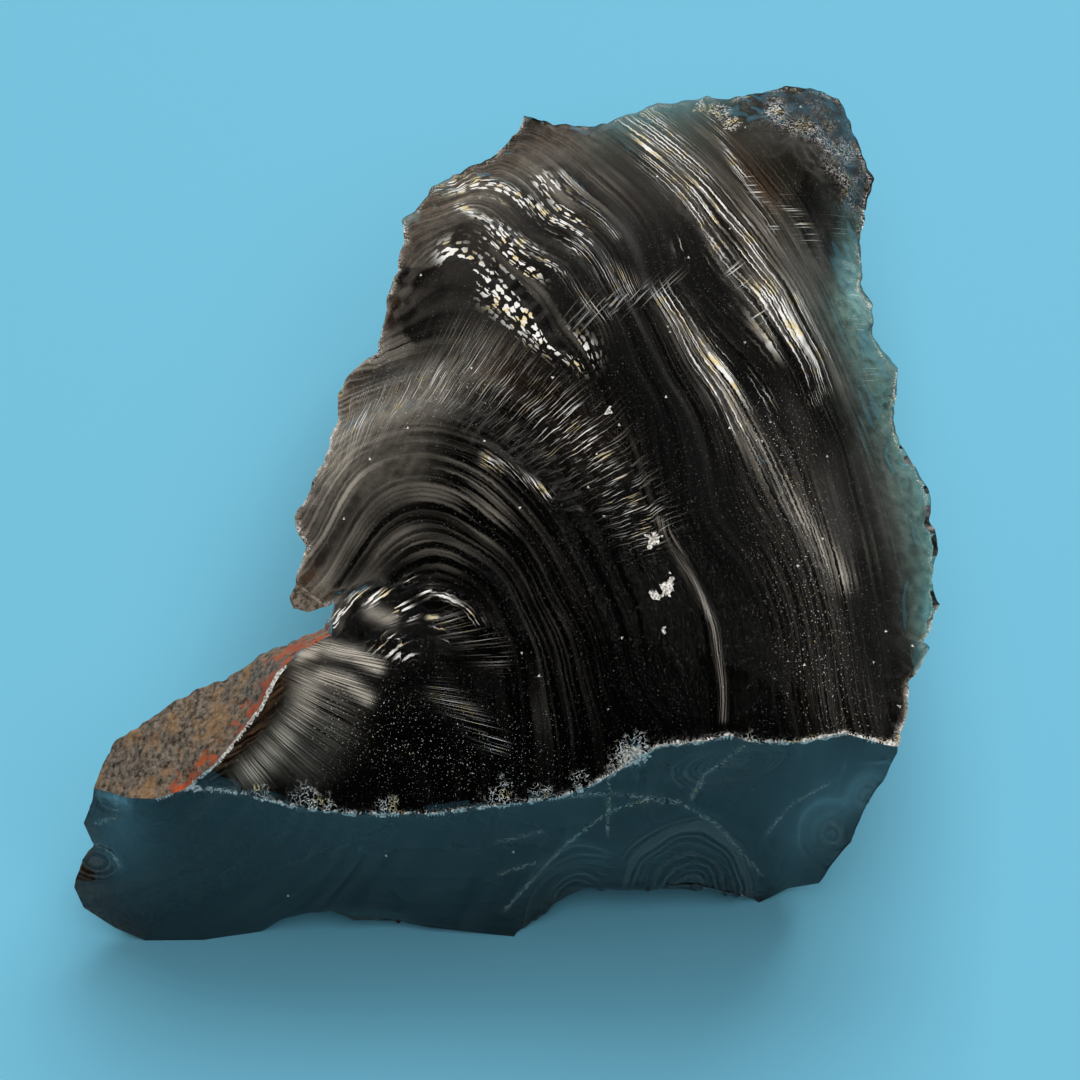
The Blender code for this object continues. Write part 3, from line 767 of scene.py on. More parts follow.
    def carve(self, mesh: bmesh.types.BMesh) -> None:
        """Works every mark into the mesh, within the solid's own box."""
        mesh.verts.ensure_lookup_table()
        mesh.verts.index_update()
        spots = np.array([vert.co for vert in mesh.verts])
        normals = np.array([vert.normal for vert in mesh.verts])
        points = self.plane.drawing(spots)
        rim = self.rim_distance(mesh, points)
        main, front, rind = self.regions(points, normals @ np.array(self.plane.outward()))
        hidden = ~(main | front | rind)
        brow = np.abs(path_distance(points, list(self.brow))[0])
        sole = (spots[:, 2] < 0.02 * MM)
        inland = smoothstep(0.0, 1.6, rim)
        step_in = smoothstep(0.0, 0.8, brow)
        height = np.zeros(len(spots))
        height += np.where(main, self.main_face.rise(points) * inland * step_in, 0.0)
        height += np.where(front, self.front_face.rise(points) * (0.25 + 0.75 * step_in), 0.0)
        height += np.where(main, self.thin_edges.rise(points), 0.0)
        crests = spots / MM
        height += np.where(rind, self.rind.rise(crests) * (0.2 + 0.8 * inland), 0.0)
        height += np.where(hidden, self.far_sides.rise(crests) * smoothstep(0.0, 2.5, rim), 0.0)
        height += self.crumble_and_ridge_highlight(points, main | front) * 0.12 * wander(points, 0.3, 61.0)
        height = np.where(sole, 0.0, height)
        moved = spots + normals * height[:, None] * MM
        eaten = self.thin_edges.shift(points, rim) * (points[:, 1] > -7.0)[:, None] * MM
        lean = math.radians(self.plane.lean_deg)
        ways = np.array([self.plane.turn() @ Vector((1.0, 0.0, 0.0)),
                         self.plane.turn() @ Vector((0.0, math.sin(lean), math.cos(lean)))])
        moved = moved + eaten @ ways
        moved[:, 2] += self.lift(points, main | front) * MM
        low, high = (np.array(corner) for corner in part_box(NODE))
        moved = np.clip(moved, low, high)
        for vert, spot in zip(mesh.verts, moved):
            vert.co = spot
        mesh.normal_update()
        kept = self.main_face.sheen_kept(points)
        patchy = np.clip(0.85 + 1.0 * wander(points, 2.4, 101.0), 0.0, 2.0)
        # The streak, bead and hackle marks place painted white highlights. The band, fan, arc and frosted marks on the
        # main face place painted gray sheen, browned by the warm mark. The gray-green mark paints light seen through
        # the thin rim. On the front and far sides the arc mark holds only the glass's dullness.
        self.marks = {
            "ripple_phase": np.where(hidden, self.far_sides.phase(crests), np.where(
                front, self.front_face.phase(points), self.main_face.phases.at(points))),
            "ripple_along": self.main_face.along(points),
            "streaks": np.where(main, strength_of(self.main_face.streaks, points), 0.0),
            "beads": np.where(main, strength_of(self.main_face.beads, points), 0.0),
            "hackles": np.where(main, strength_of(self.main_face.hackles, points), 0.0),
            "gray_sheen": np.where(main, strength_of(self.main_face.gray_sheen, points) * kept, 0.0),
            "sheen": np.where(main, strength_of(self.main_face.sheen, points), 0.0),
            "arcs": np.where(main, 0.004 + strength_of(self.main_face.arcs, points) * patchy * kept, np.where(
                front, self.front_face.film(points), self.far_sides.film(crests))),
            "frost_and_sheen": np.where(main, strength_of(self.main_face.frost_and_sheen, points) * kept + self.rim_line(points, rim), 0.0),
            "backlit_tint": strength_of(self.main_face.backlit_tint, points),
            "smoky": np.minimum(strength_of(self.main_face.smoky, points), 1.0),
            "warm": strength_of(self.main_face.warm, points),
            "dust": np.where(main, 0.2 + 0.8 * strength_of(self.main_face.dusty, points), 0.1),
            "crush": np.maximum(self.tangled(points, main, front), np.where(main, self.worn(points, rim), 0.0)),
            "rust": np.where(hidden, self.rind.old_rust(crests), 0.3 + 0.75 * bell(
                path_distance(points, list(self.rind.ridge))[0], 1.8)),
        }

    def rim_line(self, points: Array, rim: Array) -> Array:
        """Returns the broken pale line along the rim, given each point's distance to it."""
        uneven = np.clip(0.35 + 1.4 * wander(points, 0.9, 131.0), 0.0, 1.0)
        return 0.55 * bell(rim, 0.17) * uneven

    def worn(self, points: Array, rim: Array) -> Array:
        """Returns how worn the rim is at rows of across and up, given each one's distance to it."""
        uneven = np.clip(0.5 + 1.2 * wander(points, 1.5, 111.0), 0.0, 1.0)
        corner = bell(path_distance(points, [(16.0, 38.5), (21.0, 36.5), (22.5, 32.5)])[0], 1.6)
        return np.maximum(0.75 * bell(rim, 0.28) * uneven, 0.32 * corner * uneven)

    def lift(self, points: Array, seen: Array) -> Array:
        """Returns how far the brow is raised at rows of across and up, in millimetres."""
        near = bell(path_distance(points, list(self.brow))[0], self.brow_reach)
        run = smoothstep(-25.0, -20.0, points[:, 0]) * smoothstep(12.0, 6.0, points[:, 0])
        return np.where(seen, self.brow_lift * near * run, 0.0)

    def crumble_and_ridge_highlight(self, points: Array, seen: Array) -> Array:
        """Returns how crushed the surface is at rows of across and up, from nought to one, counting the white line
        along the rind's ridge, which is a painted highlight.
        """
        share = np.zeros(len(points))
        uneven = 0.5 * wander(points, 0.8, 71.0) + 0.9 * wander(points, 0.3, 73.0)
        for across, up, radius in self.crushed:
            gap = np.hypot(points[:, 0] - across, points[:, 1] - up) / radius
            share = np.maximum(share, 1.0 - smoothstep(0.7, 1.0, gap + uneven))
        brow = np.abs(path_distance(points, list(self.brow))[0])
        ridge = np.abs(path_distance(points, list(self.rind.ridge[:-2]))[0])
        line = (brow < 0.09 + 0.20 * wander(points, 0.45, 81.0)) & (points[:, 0] > -25.0)
        # The line along the rind's ridge is a painted highlight: the ridge's glint, laid as white crushed glass.
        line |= (ridge < 0.20 + 0.12 * wander(points, 0.6, 91.0)) & (points[:, 1] < -0.4)
        return np.where(seen, np.maximum(share, line * 1.0), 0.0)

    def tangled(self, points: Array, main: Array, front: Array) -> Array:
        """Returns how thickly fine cracks tangle at rows of across and up, from nought to one."""
        share = np.zeros(len(points))
        uneven = 0.5 * wander(points, 0.9, 75.0) + 0.5 * wander(points, 0.35, 77.0)
        for across, up, radius in self.tangles:
            gap = np.hypot(points[:, 0] - across, points[:, 1] - up) / radius
            share = np.maximum(share, 1.0 - smoothstep(0.5, 1.0, gap + uneven))
        brow = np.abs(path_distance(points, list(self.brow))[0])
        share = np.maximum(share, bell(brow, 0.20) * (points[:, 0] > -25.0))
        share = np.where(main, share, 0.25 * share)
        share = np.maximum(share, 0.6 * self.front_face.cracked(points))
        return np.where(main | front, share, 0.0)

    def sharpen(self, mesh: bmesh.types.BMesh) -> None:
        """Shades faces smoothly, apart from across sharp edges."""
        limit = math.radians(self.sharp_deg)
        for face in mesh.faces:
            face.smooth = True
        for edge in mesh.edges:
            edge.smooth = edge.calc_face_angle(0.0) < limit

    def lay_skins(self, mesh: bmesh.types.BMesh) -> None:
        """Gives each face its finish: glass, rind, or the white of crushed glass."""
        faces = list(mesh.faces)
        middles = np.array([face.calc_center_median() for face in faces])
        normals = np.array([face.normal for face in faces])
        points = self.plane.drawing(middles)
        lean = math.radians(self.plane.lean_deg)
        points[:, 1] -= math.cos(lean) * self.lift(points, np.ones(len(points), dtype=bool))
        main, front, rind = self.regions(points, normals @ np.array(self.plane.outward()))
        # Crushed faces take in the ridge's painted highlight line.
        crushed = self.crumble_and_ridge_highlight(points, main | front) > 0.5
        hidden = ~(main | front | rind)
        rind |= hidden & (points[:, 0] < self.old_side + 1.5 * wander(points, 3.0, 121.0))
        rng = np.random.default_rng(self.seed)
        chance = 0.0003 + 0.001 * main * bell(path_distance(points, [(15.0, 14.0), (18.0, 4.0), (20.0, -4.0)])[0], 4.0)
        specks = rng.random(len(faces)) < chance * (main + 0.4 * front)
        crushed |= specks
        for number, face in enumerate(faces):
            face.material_index = int(Skin.RIND if rind[number] else Skin.BRUISE if crushed[number] else Skin.GLASS)

    def write_marks(self, data: bpy.types.Mesh) -> None:
        """Writes the ripples' phase and the marks' strengths on the mesh, for the finishes to read."""
        for name, values in self.marks.items():
            layer = data.attributes.new(name, "FLOAT", "POINT")
            layer.data.foreach_set("value", values.astype(np.float32))


def output_tree(name: str) -> bpy.types.NodeTree:
    """Makes a material with an empty node tree, and returns the tree."""
    material = bpy.data.materials.new(name)
    material.use_nodes = True
    material.node_tree.nodes.clear()
    return material


@dataclass(frozen=True)
class VolcanicGlass:
    """Fresh obsidian: a hard glassy shine over a body that swallows light within a millimetre or two.

    Thick stone reads black. Thin edges pass a smoky green-gray light.
    White and golden lines, dashes and hackles on it are painted highlights: matte white marks that stand
    in for glints on the ripples. Its gray and brown films are painted sheen that stands in for
    reflections, and its gray-green film is painted light seen through the thin rim. Its cracks and dust
    specks are real white marks, and the film on the front and far sides is real dullness.
    """

    ior: float = 1.49
    roughness: float = 0.04
    pass_colour: tuple[float, float, float, float] = (0.5, 0.2, 0.0, 1.0)
    density_per_mm: float = 0.45
    # Colours of the painted highlights, white and golden; the real cracks and dust specks take them too.
    glint_and_crush_colour: str = "#F3F0EA"
    golden_glint_colour: str = "#E8D08C"
    smoky_colour: str = "#241F1A"
    # Gray of the film: painted sheen on the main face, real dullness on the front and far sides.
    sheen_and_dull_colour: str = "#C0B7A8"
    brown_colour: str = "#86664A"
    # Gray-green of painted light: the floor's light seen through the thin rim.
    backlit_tint_colour: str = "#7FA69C"
    glint_and_crush_roughness: float = 0.4
    stria_mm: float = 0.11
    stria_relief_mm: float = 0.03
    hackle_mm: float = 0.11
    hackle_relief_mm: float = 0.05
    arc_mm: float = 0.38
    bead_mm: Point = (0.26, 0.62)
    bead_row_mm: float = 0.42
    waver_mm: float = 0.08
    mist_mm: float = 0.8
    crack_mm: float = 0.30
    dust_mm: float = 0.11

    def material(self) -> bpy.types.Material:
        """Builds the glass."""
        material = output_tree("volcanic_glass")
        tree = material.node_tree
        marks = {name: add_node(tree, "ShaderNodeAttribute", {"attribute_name": name}).outputs["Fac"] for name in (
            "ripple_phase", "ripple_along", "streaks", "beads", "hackles", "gray_sheen", "sheen", "arcs", "warm",
            "dust", "crush", "frost_and_sheen", "smoky", "backlit_tint")}
        phase, along = self.wavering(tree, marks["ripple_phase"]), marks["ripple_along"]
        lines = self.scratches(tree, phase, along, 1.0 / self.stria_mm, 0.16)
        rays = self.scratches(tree, phase, along, 0.26, 1.0 / self.hackle_mm)
        fan = self.scratches(tree, phase, along, 0.3, 1.0 / self.hackle_mm)
        dashes = self.scratches(tree, phase, along, 1.8, 0.9)
        broad = self.scratches(tree, phase, along, 1.0 / self.arc_mm, 0.05)
        # Painted highlights: white lines, dashes and hackles stand in for glints on the ripples. Cracks and dust specks
        # are real white marks.
        whole = self.masked(tree, lines, marks["streaks"], 0.54, 0.60)
        striae = self.masked(tree, dashes, whole, 0.30, 0.52)
        hackles = self.masked(tree, rays, marks["hackles"], 0.57, 0.65)
        beads = self.masked(tree, self.bead_field(tree, phase, along), marks["beads"], -0.36, -0.28)
        cracks = self.masked(tree, self.crack_field(tree), marks["crush"], -0.035, -0.015)
        specks = self.masked(tree, self.grain(tree, self.dust_mm), marks["dust"], 0.66, 0.73)
        glints_and_crush = self.largest(tree, (striae, hackles, beads, cracks, specks))
        # Painted gray sheen on the main face, standing in for reflections, with real dullness on the front and far
        # sides.
        film = self.film(tree, ((lines, marks["gray_sheen"], 0.44), (fan, marks["sheen"], 0.38), (
            broad, marks["arcs"], 0.47), (self.grain(tree, self.mist_mm), marks["frost_and_sheen"], 0.05)))
        dull = add_node(tree, "ShaderNodeMath", {"operation": "ADD", "use_clamp": True}, {0: glints_and_crush, 1: film})
        clear = add_node(tree, "ShaderNodeMath", {"operation": "SUBTRACT", 0: 1.0}, {1: dull.outputs[0]})
        rough = add_node(tree, "ShaderNodeMapRange", {"To Min": self.roughness, "To Max": self.glint_and_crush_roughness}, {
            "Value": dull.outputs[0]})
        fine = add_node(tree, "ShaderNodeBump", {"Strength": 1.0, "Distance": self.stria_relief_mm * MM}, {
            "Height": striae})
        cross = add_node(tree, "ShaderNodeBump", {"Strength": 1.0, "Distance": self.hackle_relief_mm * MM}, {
            "Height": hackles, "Normal": fine.outputs["Normal"]})
        shader = add_node(tree, "ShaderNodeBsdfPrincipled", {"IOR": self.ior}, {
            "Base Color": self.colour(tree, glints_and_crush, marks), "Transmission Weight": clear.outputs[0],
            "Roughness": rough.outputs[0], "Normal": cross.outputs["Normal"]})
        body = add_node(tree, "ShaderNodeVolumeAbsorption", {
            "Color": self.pass_colour, "Density": self.density_per_mm / MM})
        add_node(tree, "ShaderNodeOutputMaterial", None, {
            "Surface": shader.outputs["BSDF"], "Volume": body.outputs["Volume"]})
        return material

    def masked(self, tree: bpy.types.NodeTree, pattern: bpy.types.NodeSocket, strength: bpy.types.NodeSocket,
               low: float, high: float) -> bpy.types.NodeSocket:
        """Cuts a pattern to crisp marks and scales them by their strength."""
        cut = add_node(tree, "ShaderNodeMapRange", {"From Min": low, "From Max": high}, {"Value": pattern})
        return add_node(tree, "ShaderNodeMath", {"operation": "MULTIPLY"}, {0: cut.outputs[0], 1: strength}).outputs[0]

    def largest(self, tree: bpy.types.NodeTree, parts: tuple[bpy.types.NodeSocket, ...]) -> bpy.types.NodeSocket:
        """Returns the largest of several values at each place."""
        total = parts[0]
        for part in parts[1:]:
            total = add_node(tree, "ShaderNodeMath", {"operation": "MAXIMUM"}, {0: total, 1: part}).outputs[0]
        return total

    def film(self, tree: bpy.types.NodeTree,
             parts: tuple[tuple[bpy.types.NodeSocket, bpy.types.NodeSocket, float], ...]) -> bpy.types.NodeSocket:
        """Adds up the film: painted gray sheen on the main face and dullness on the front and far sides, each a streaky
        pattern with its strength and lowest level.
        """
        total = None
        for pattern, strength, low in parts:
            cut = add_node(tree, "ShaderNodeMapRange", {"From Min": low, "From Max": 0.68, "To Max": 1.6}, {
                "Value": pattern})
            share = add_node(tree, "ShaderNodeMath", {"operation": "MULTIPLY"}, {0: cut.outputs[0], 1: strength})
            total = share.outputs[0] if total is None else add_node(
                tree, "ShaderNodeMath", {"operation": "ADD"}, {0: total, 1: share.outputs[0]}).outputs[0]
        return total

    def colour(self, tree: bpy.types.NodeTree, glints_and_crush: bpy.types.NodeSocket,
               strengths: dict[str, bpy.types.NodeSocket]) -> bpy.types.NodeSocket:
        """Colours the film gray, brown, gray-green or smoky, and the white marks white or golden: the gray-green is
        painted light seen through the thin rim, the film is mostly painted sheen, and the white marks are mostly
        painted highlights, with real cracks and specks among them.
        """
        place = add_node(tree, "ShaderNodeTexCoord")
        patches = add_node(tree, "ShaderNodeTexNoise", {"Scale": 1.0 / (1.1 * MM), "Detail": 2.0}, {
            "Vector": place.outputs["Object"]})
        golden_glint_share = add_node(tree, "ShaderNodeMapRange", {"From Min": 0.52, "From Max": 0.62, "To Max": 0.8}, {
            "Value": patches.outputs["Fac"]})
        marks = add_node(tree, "ShaderNodeMix", {
            "data_type": "RGBA", 6: hex_to_linear(self.glint_and_crush_colour), 7: hex_to_linear(self.golden_glint_colour)}, {
            0: golden_glint_share.outputs[0]})
        film = add_node(tree, "ShaderNodeCombineColor", dict(zip(("Red", "Green", "Blue"), hex_to_linear(
            self.sheen_and_dull_colour)))).outputs[0]
        for name, tint in (("warm", self.brown_colour), ("backlit_tint", self.backlit_tint_colour), ("smoky", self.smoky_colour)):
            film = add_node(tree, "ShaderNodeMix", {"data_type": "RGBA", 7: hex_to_linear(tint)}, {
                0: strengths[name], 6: film}).outputs[2]
        share = add_node(tree, "ShaderNodeMapRange", {"From Max": 0.35}, {"Value": glints_and_crush})
        return add_node(tree, "ShaderNodeMix", {"data_type": "RGBA"}, {
            0: share.outputs[0], 6: film, 7: marks.outputs[2]}).outputs[2]

    def bead_field(self, tree: bpy.types.NodeTree, phase: bpy.types.NodeSocket,
                   along: bpy.types.NodeSocket) -> bpy.types.NodeSocket:
        """Returns minus the distance to the nearest bead, in rows along the ripples, for the painted highlight dashes.
        """
        place = self.laid_out(tree, phase, along, 1.0 / self.bead_mm[0], 1.0 / self.bead_mm[1])
        cells = add_node(tree, "ShaderNodeTexVoronoi", {
            "voronoi_dimensions": "2D", "Scale": 1.0, "Randomness": 0.75}, {"Vector": place})
        uneven = add_node(tree, "ShaderNodeTexNoise", {"Scale": 1.3, "Detail": 2.0}, {"Vector": place})
        ragged = add_node(tree, "ShaderNodeMath", {"operation": "MULTIPLY_ADD", 1: 1.1, 2: -0.52}, {
            0: uneven.outputs["Fac"]})
        bead = add_node(tree, "ShaderNodeMath", {"operation": "SUBTRACT"}, {
            0: ragged.outputs[0], 1: cells.outputs["Distance"]})
        rows = self.scratches(tree, phase, along, 1.0 / self.bead_row_mm, 0.10)
        row = add_node(tree, "ShaderNodeMath", {"operation": "MULTIPLY_ADD", 1: 4.0, 2: -2.30}, {0: rows})
        return add_node(tree, "ShaderNodeMath", {"operation": "MINIMUM"}, {
            0: bead.outputs[0], 1: row.outputs[0]}).outputs[0]

    def crack_field(self, tree: bpy.types.NodeTree) -> bpy.types.NodeSocket:
        """Returns minus the distance from a tangle of curling cracks."""
        place = add_node(tree, "ShaderNodeTexCoord")
        lumps = add_node(tree, "ShaderNodeTexNoise", {
            "Scale": 1.0 / (self.crack_mm * MM), "Detail": 2.0, "Distortion": 0.6}, {
            "Vector": place.outputs["Object"]})
        centred = add_node(tree, "ShaderNodeMath", {"operation": "SUBTRACT", 1: 0.5}, {0: lumps.outputs["Fac"]})
        size = add_node(tree, "ShaderNodeMath", {"operation": "ABSOLUTE"}, {0: centred.outputs[0]})
        return add_node(tree, "ShaderNodeMath", {"operation": "MULTIPLY", 1: -1.0}, {0: size.outputs[0]}).outputs[0]

    def grain(self, tree: bpy.types.NodeTree, pitch_mm: float) -> bpy.types.NodeSocket:
        """Returns an even noise with the given pitch."""
        place = add_node(tree, "ShaderNodeTexCoord")
        return add_node(tree, "ShaderNodeTexNoise", {
            "Scale": 1.0 / (pitch_mm * MM), "Detail": 2.0}, {"Vector": place.outputs["Object"]}).outputs["Fac"]

    def wavering(self, tree: bpy.types.NodeTree, phase: bpy.types.NodeSocket) -> bpy.types.NodeSocket:
        """Makes the ripples' phase waver a little, so that the painted highlight lines and sheen streaks are ragged."""
        uneven = self.grain(tree, 5.0 * self.waver_mm)
        return add_node(tree, "ShaderNodeMath", {"operation": "MULTIPLY_ADD", 1: 2.0 * self.waver_mm}, {
            0: uneven, 2: phase}).outputs[0]

    def laid_out(self, tree: bpy.types.NodeTree, phase: bpy.types.NodeSocket, along: bpy.types.NodeSocket,
                 across_per_mm: float, along_per_mm: float) -> bpy.types.NodeSocket:
        """Lays a pattern out across and along the ripples."""
        first = add_node(tree, "ShaderNodeMath", {"operation": "MULTIPLY", 1: across_per_mm}, {0: phase})
        second = add_node(tree, "ShaderNodeMath", {"operation": "MULTIPLY", 1: along_per_mm}, {0: along})
        return add_node(tree, "ShaderNodeCombineXYZ", None, {
            "X": first.outputs[0], "Y": second.outputs[0]}).outputs[0]

    def scratches(self, tree: bpy.types.NodeTree, phase: bpy.types.NodeSocket, along: bpy.types.NodeSocket,
                  across_per_mm: float, along_per_mm: float) -> bpy.types.NodeSocket:
        """Adds a noise that is drawn out along or across the ripples.

        Args:
            tree: the material's node tree.
            phase: the ripples' phase.
            along: the way along a ripple.
            across_per_mm: changes in a millimetre across the ripples.
            along_per_mm: changes in a millimetre along them.

        Returns:
            The noise.
        """
        place = self.laid_out(tree, phase, along, across_per_mm, along_per_mm)
        return add_node(tree, "ShaderNodeTexNoise", {"Scale": 1.0, "Detail": 2.0, "Roughness": 0.5}, {
            "Vector": place}).outputs["Fac"]


@dataclass(frozen=True)
class WeatheredRind:
    """The old skin: devitrified and iron-stained, so it is dull, grainy, gray-brown and rust-red."""

    dark: str = "#2A241F"
    pale: str = "#8C7F70"
    rust: str = "#B4542E"
    tan: str = "#AC8150"
    stain_mm: float = 1.3
    tan_mm: float = 2.0
    grain_mm: float = 0.35

    def material(self) -> bpy.types.Material:
        """Builds the rind."""
        material = output_tree("weathered_rind")
        tree = material.node_tree
        place = add_node(tree, "ShaderNodeTexCoord")
        grain = add_node(tree, "ShaderNodeTexNoise", {
            "Scale": 1.0 / (self.grain_mm * MM), "Detail": 6.0, "Roughness": 0.7}, {
            "Vector": place.outputs["Object"]})
        patches = add_node(tree, "ShaderNodeTexNoise", {
            "Scale": 1.0 / (self.stain_mm * MM), "Detail": 5.0, "Roughness": 0.65}, {
            "Vector": place.outputs["Object"]})
        tone = add_node(tree, "ShaderNodeValToRGB", None, {"Fac": grain.outputs["Fac"]})
        tone.color_ramp.elements[0].position = 0.38
        tone.color_ramp.elements[0].color = hex_to_linear(self.dark)
        tone.color_ramp.elements[1].position = 0.62
        tone.color_ramp.elements[1].color = hex_to_linear(self.pale)
        near = add_node(tree, "ShaderNodeAttribute", {"attribute_name": "rust"})
        stain = add_node(tree, "ShaderNodeMath", {"operation": "MULTIPLY"}, {
            0: patches.outputs["Fac"], 1: near.outputs["Fac"]})
        share = add_node(tree, "ShaderNodeMapRange", {
            "From Min": 0.45, "From Max": 0.55, "To Min": 0.0, "To Max": 0.9}, {
            "Value": stain.outputs[0]})
        blotches = add_node(tree, "ShaderNodeTexNoise", {
            "Scale": 1.0 / (self.tan_mm * MM), "Detail": 6.0, "Roughness": 0.7}, {
            "Vector": place.outputs["Object"]})
        tanned = add_node(tree, "ShaderNodeMapRange", {"From Min": 0.50, "From Max": 0.66, "To Max": 0.55}, {
            "Value": blotches.outputs["Fac"]})
        ground = add_node(tree, "ShaderNodeMix", {"data_type": "RGBA", 7: hex_to_linear(self.tan)}, {
            0: tanned.outputs[0], 6: tone.outputs["Color"]})
        stained = add_node(tree, "ShaderNodeMix", {"data_type": "RGBA", 7: hex_to_linear(self.rust)}, {
            0: share.outputs[0], 6: ground.outputs[2]})
        bump = add_node(tree, "ShaderNodeBump", {"Strength": 0.6, "Distance": 0.12 * MM}, {
            "Height": grain.outputs["Fac"]})
        shader = add_node(tree, "ShaderNodeBsdfPrincipled", {"Roughness": 0.72}, {
            "Base Color": stained.outputs[2], "Normal": bump.outputs["Normal"]})
        add_node(tree, "ShaderNodeOutputMaterial", None, {"Surface": shader.outputs["BSDF"]})
        return material


@dataclass(frozen=True)
class CrushedGlass:
    """Glass crushed to powder and splinters along edges and at knocks, which scatters light white; it also carries the
    ridge's painted highlight line.
    """

    pale: str = "#F0EDE5"
    dark: str = "#86827A"
    grain_mm: float = 0.18

    def material(self) -> bpy.types.Material:
        """Builds the crushed glass."""
        material = output_tree("crushed_glass")
        tree = material.node_tree
        place = add_node(tree, "ShaderNodeTexCoord")
        grain = add_node(tree, "ShaderNodeTexNoise", {
            "Scale": 1.0 / (self.grain_mm * MM), "Detail": 3.0}, {"Vector": place.outputs["Object"]})
        tone = add_node(tree, "ShaderNodeValToRGB", None, {"Fac": grain.outputs["Fac"]})
        tone.color_ramp.elements[0].position = 0.4
        tone.color_ramp.elements[0].color = hex_to_linear(self.dark)
        tone.color_ramp.elements[1].position = 0.62
        tone.color_ramp.elements[1].color = hex_to_linear(self.pale)
        bump = add_node(tree, "ShaderNodeBump", {"Strength": 0.8, "Distance": 0.08 * MM}, {
            "Height": grain.outputs["Fac"]})
        shader = add_node(tree, "ShaderNodeBsdfPrincipled", {"Roughness": 0.35}, {
            "Base Color": tone.outputs["Color"], "Normal": bump.outputs["Normal"]})
        add_node(tree, "ShaderNodeOutputMaterial", None, {"Surface": shader.outputs["BSDF"]})
        return material


@dataclass(frozen=True)
class Glow:
    """One diffuser as it shows in the glass: a soft oval of light in a direction, in degrees."""

    azimuth: float
    elevation: float
    wide: float
    high: float
    strength: float
    colour: str = "#FFFFFF"

    def added(self, tree: bpy.types.NodeTree, light: bpy.types.NodeSocket, azimuth: bpy.types.NodeSocket,
              elevation: bpy.types.NodeSocket) -> bpy.types.NodeSocket:
        """Adds the glow to the room's light.

        Args:
            tree: the world's node tree.
            light: the light so far.
            azimuth: the direction's angle from straight behind the stone, in radians.
            elevation: its angle above the floor, in radians.

        Returns:
            The light with the glow.
        """
        squares = []
        for angle, middle, half in ((azimuth, self.azimuth, self.wide), (elevation, self.elevation, self.high)):
            offset = add_node(tree, "ShaderNodeMath", {"operation": "SUBTRACT", 1: math.radians(middle)}, {0: angle})
            share = add_node(tree, "ShaderNodeMath", {"operation": "DIVIDE", 1: math.radians(half)}, {
                0: offset.outputs[0]})
            squares.append(add_node(tree, "ShaderNodeMath", {"operation": "POWER", 1: 2.0}, {
                0: add_node(tree, "ShaderNodeMath", {"operation": "ABSOLUTE"}, {
                    0: share.outputs[0]}).outputs[0]}).outputs[0])
        total = add_node(tree, "ShaderNodeMath", {"operation": "ADD"}, {0: squares[0], 1: squares[1]})
        falling = add_node(tree, "ShaderNodeMath", {"operation": "POWER", 0: math.exp(-1.0)}, {1: total.outputs[0]})
        bright = add_node(tree, "ShaderNodeMath", {"operation": "MULTIPLY", 1: self.strength}, {
            0: falling.outputs[0]})
        tint = add_node(tree, "ShaderNodeVectorMath", {
            "operation": "SCALE", 0: hex_to_linear(self.colour)[:3]}, {"Scale": bright.outputs[0]})
        return add_node(tree, "ShaderNodeVectorMath", {"operation": "ADD"}, {
            0: light, 1: tint.outputs[0]}).outputs[0]


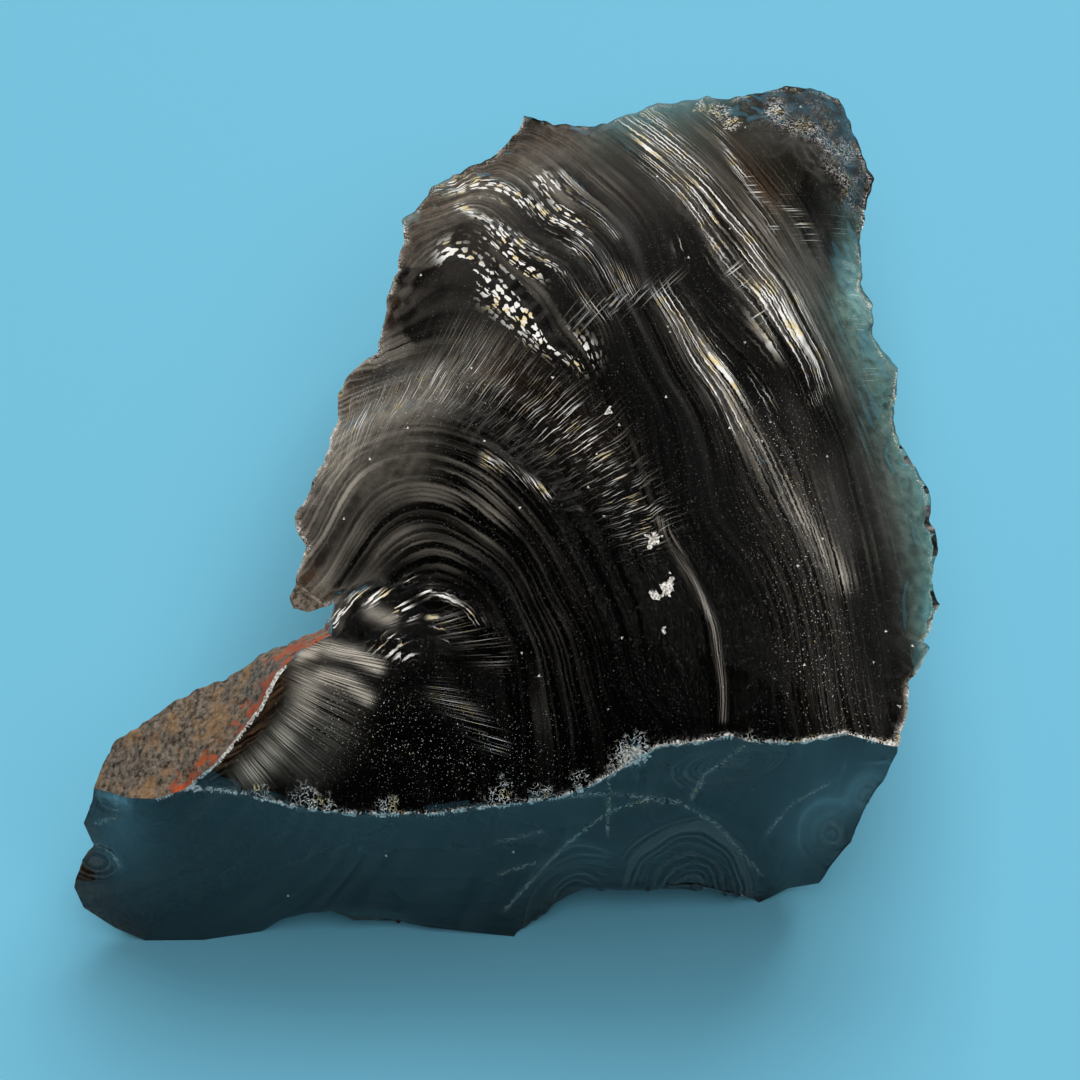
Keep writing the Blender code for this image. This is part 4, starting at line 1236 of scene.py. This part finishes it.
@dataclass(frozen=True)
class Studio:
    """The pale floor, the soft lights round the stone and the camera."""

    plane: DrawingPlane = field(default_factory=DrawingPlane)
    floor_half: float = 1.5
    floor_colour: str = "#74C0DC"
    aim_mm: tuple[float, float, float] = (0.0, 0.0, 12.6)
    distance: float = 0.300
    field_width: float = 0.0743
    sensor_mm: float = 36.0
    glows: tuple[Glow, ...] = (
        Glow(-40.0, 18.0, 24.0, 10.0, 1.0, "#FFF2DF"),
        Glow(22.0, 12.0, 20.0, 6.0, 0.6, "#FFF8F0"),
        Glow(20.0, 14.0, 60.0, 18.0, 0.12),
    )

    def build(self) -> None:
        """Makes the floor, the lights and the camera."""
        self.floor()
        self.camera()
        self.surroundings()
        self.softbox("key", azimuth=20.0, elevation=62.0, span=(0.8, 0.8), strength=4.4)
        self.softbox("fill", azimuth=165.0, elevation=68.0, span=(0.9, 0.9), strength=1.8)

    def floor(self) -> None:
        """Lays the pale floor under the stone."""
        mesh = bmesh.new()
        bmesh.ops.create_grid(mesh, x_segments=1, y_segments=1, size=self.floor_half)
        data = bpy.data.meshes.new("floor")
        mesh.to_mesh(data)
        mesh.free()
        material = bpy.data.materials.new("pale_floor")
        material.use_nodes = True
        shader = material.node_tree.nodes["Principled BSDF"]
        shader.inputs["Base Color"].default_value = hex_to_linear(self.floor_colour)
        shader.inputs["Roughness"].default_value = 0.6
        data.materials.append(material)
        floor = bpy.data.objects.new("floor", data)
        bpy.context.scene.collection.objects.link(floor)

    def surroundings(self) -> None:
        """Sets the room's dim light, with the soft glow of its diffusers round the stone."""
        world = bpy.data.worlds.new("dim_room")
        world.use_nodes = True
        tree = world.node_tree
        tree.nodes.clear()
        place = add_node(tree, "ShaderNodeTexCoord")
        turned = add_node(tree, "ShaderNodeVectorRotate", {
            "rotation_type": "Z_AXIS", "Angle": math.radians(self.plane.turn_deg)}, {
            "Vector": place.outputs["Generated"]})
        parts = add_node(tree, "ShaderNodeSeparateXYZ", None, {0: turned.outputs[0]})
        azimuth = add_node(tree, "ShaderNodeMath", {"operation": "ARCTAN2"}, {
            0: parts.outputs["X"], 1: parts.outputs["Y"]})
        elevation = add_node(tree, "ShaderNodeMath", {"operation": "ARCSINE"}, {0: parts.outputs["Z"]})
        light = add_node(tree, "ShaderNodeCombineColor", {"Red": 0.02, "Green": 0.021, "Blue": 0.022}).outputs[0]
        for glow in self.glows:
            light = glow.added(tree, light, azimuth.outputs[0], elevation.outputs[0])
        background = add_node(tree, "ShaderNodeBackground", {"Strength": 1.0}, {"Color": light})
        add_node(tree, "ShaderNodeOutputWorld", None, {"Surface": background.outputs[0]})
        bpy.context.scene.world = world
        bpy.context.scene.view_settings.view_transform = "Standard"

    def softbox(self, name: str, azimuth: float, elevation: float, span: Point, strength: float,
                reach: float = 1.0) -> None:
        """Hangs one rectangular softbox that faces the stone, and keeps it out of the glass's reflections.

        Args:
            name: the light's name.
            azimuth: degrees from straight behind the stone, positive to the right as seen.
            elevation: degrees above the floor.
            span: width and height, in metres.
            strength: brightness of its face, as a multiple of white.
            reach: distance from the stone, in metres.
        """
        turn, rise = math.radians(azimuth), math.radians(elevation)
        way = Vector((math.sin(turn) * math.cos(rise), math.cos(turn) * math.cos(rise), math.sin(rise)))
        light = bpy.data.lights.new(name, "AREA")
        light.shape = "RECTANGLE"
        light.size, light.size_y = span
        light.energy = strength * math.pi * span[0] * span[1]
        place = self.plane.turn() @ (way * reach)
        holder = bpy.data.objects.new(name, light)
        holder.location = place
        holder.rotation_euler = place.to_track_quat("Z", "Y").to_euler()
        holder.visible_glossy = False
        bpy.context.scene.collection.objects.link(holder)

    def camera(self) -> None:
        """Places the camera square to the drawing plane."""
        data = bpy.data.cameras.new("camera")
        data.sensor_width = self.sensor_mm
        data.lens = self.sensor_mm * self.distance / self.field_width
        data.clip_start = 0.01
        camera = bpy.data.objects.new("camera", data)
        back = self.plane.outward()
        camera.location = self.plane.placed(self.aim_mm) + back * self.distance
        camera.rotation_euler = back.to_track_quat("Z", "Y").to_euler()
        bpy.context.scene.collection.objects.link(camera)
        bpy.context.scene.camera = camera


def main() -> None:
    """Builds the stone and its studio."""
    logging.basicConfig(level=logging.INFO, format="%(name)s: %(message)s")
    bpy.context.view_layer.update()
    stone = ObsidianChunk().build()
    LOG.info("%s: %d faces", stone.name, len(stone.data.polygons))
    Studio().build()
    bpy.context.view_layer.update()


if __name__ == "__main__":
    main()
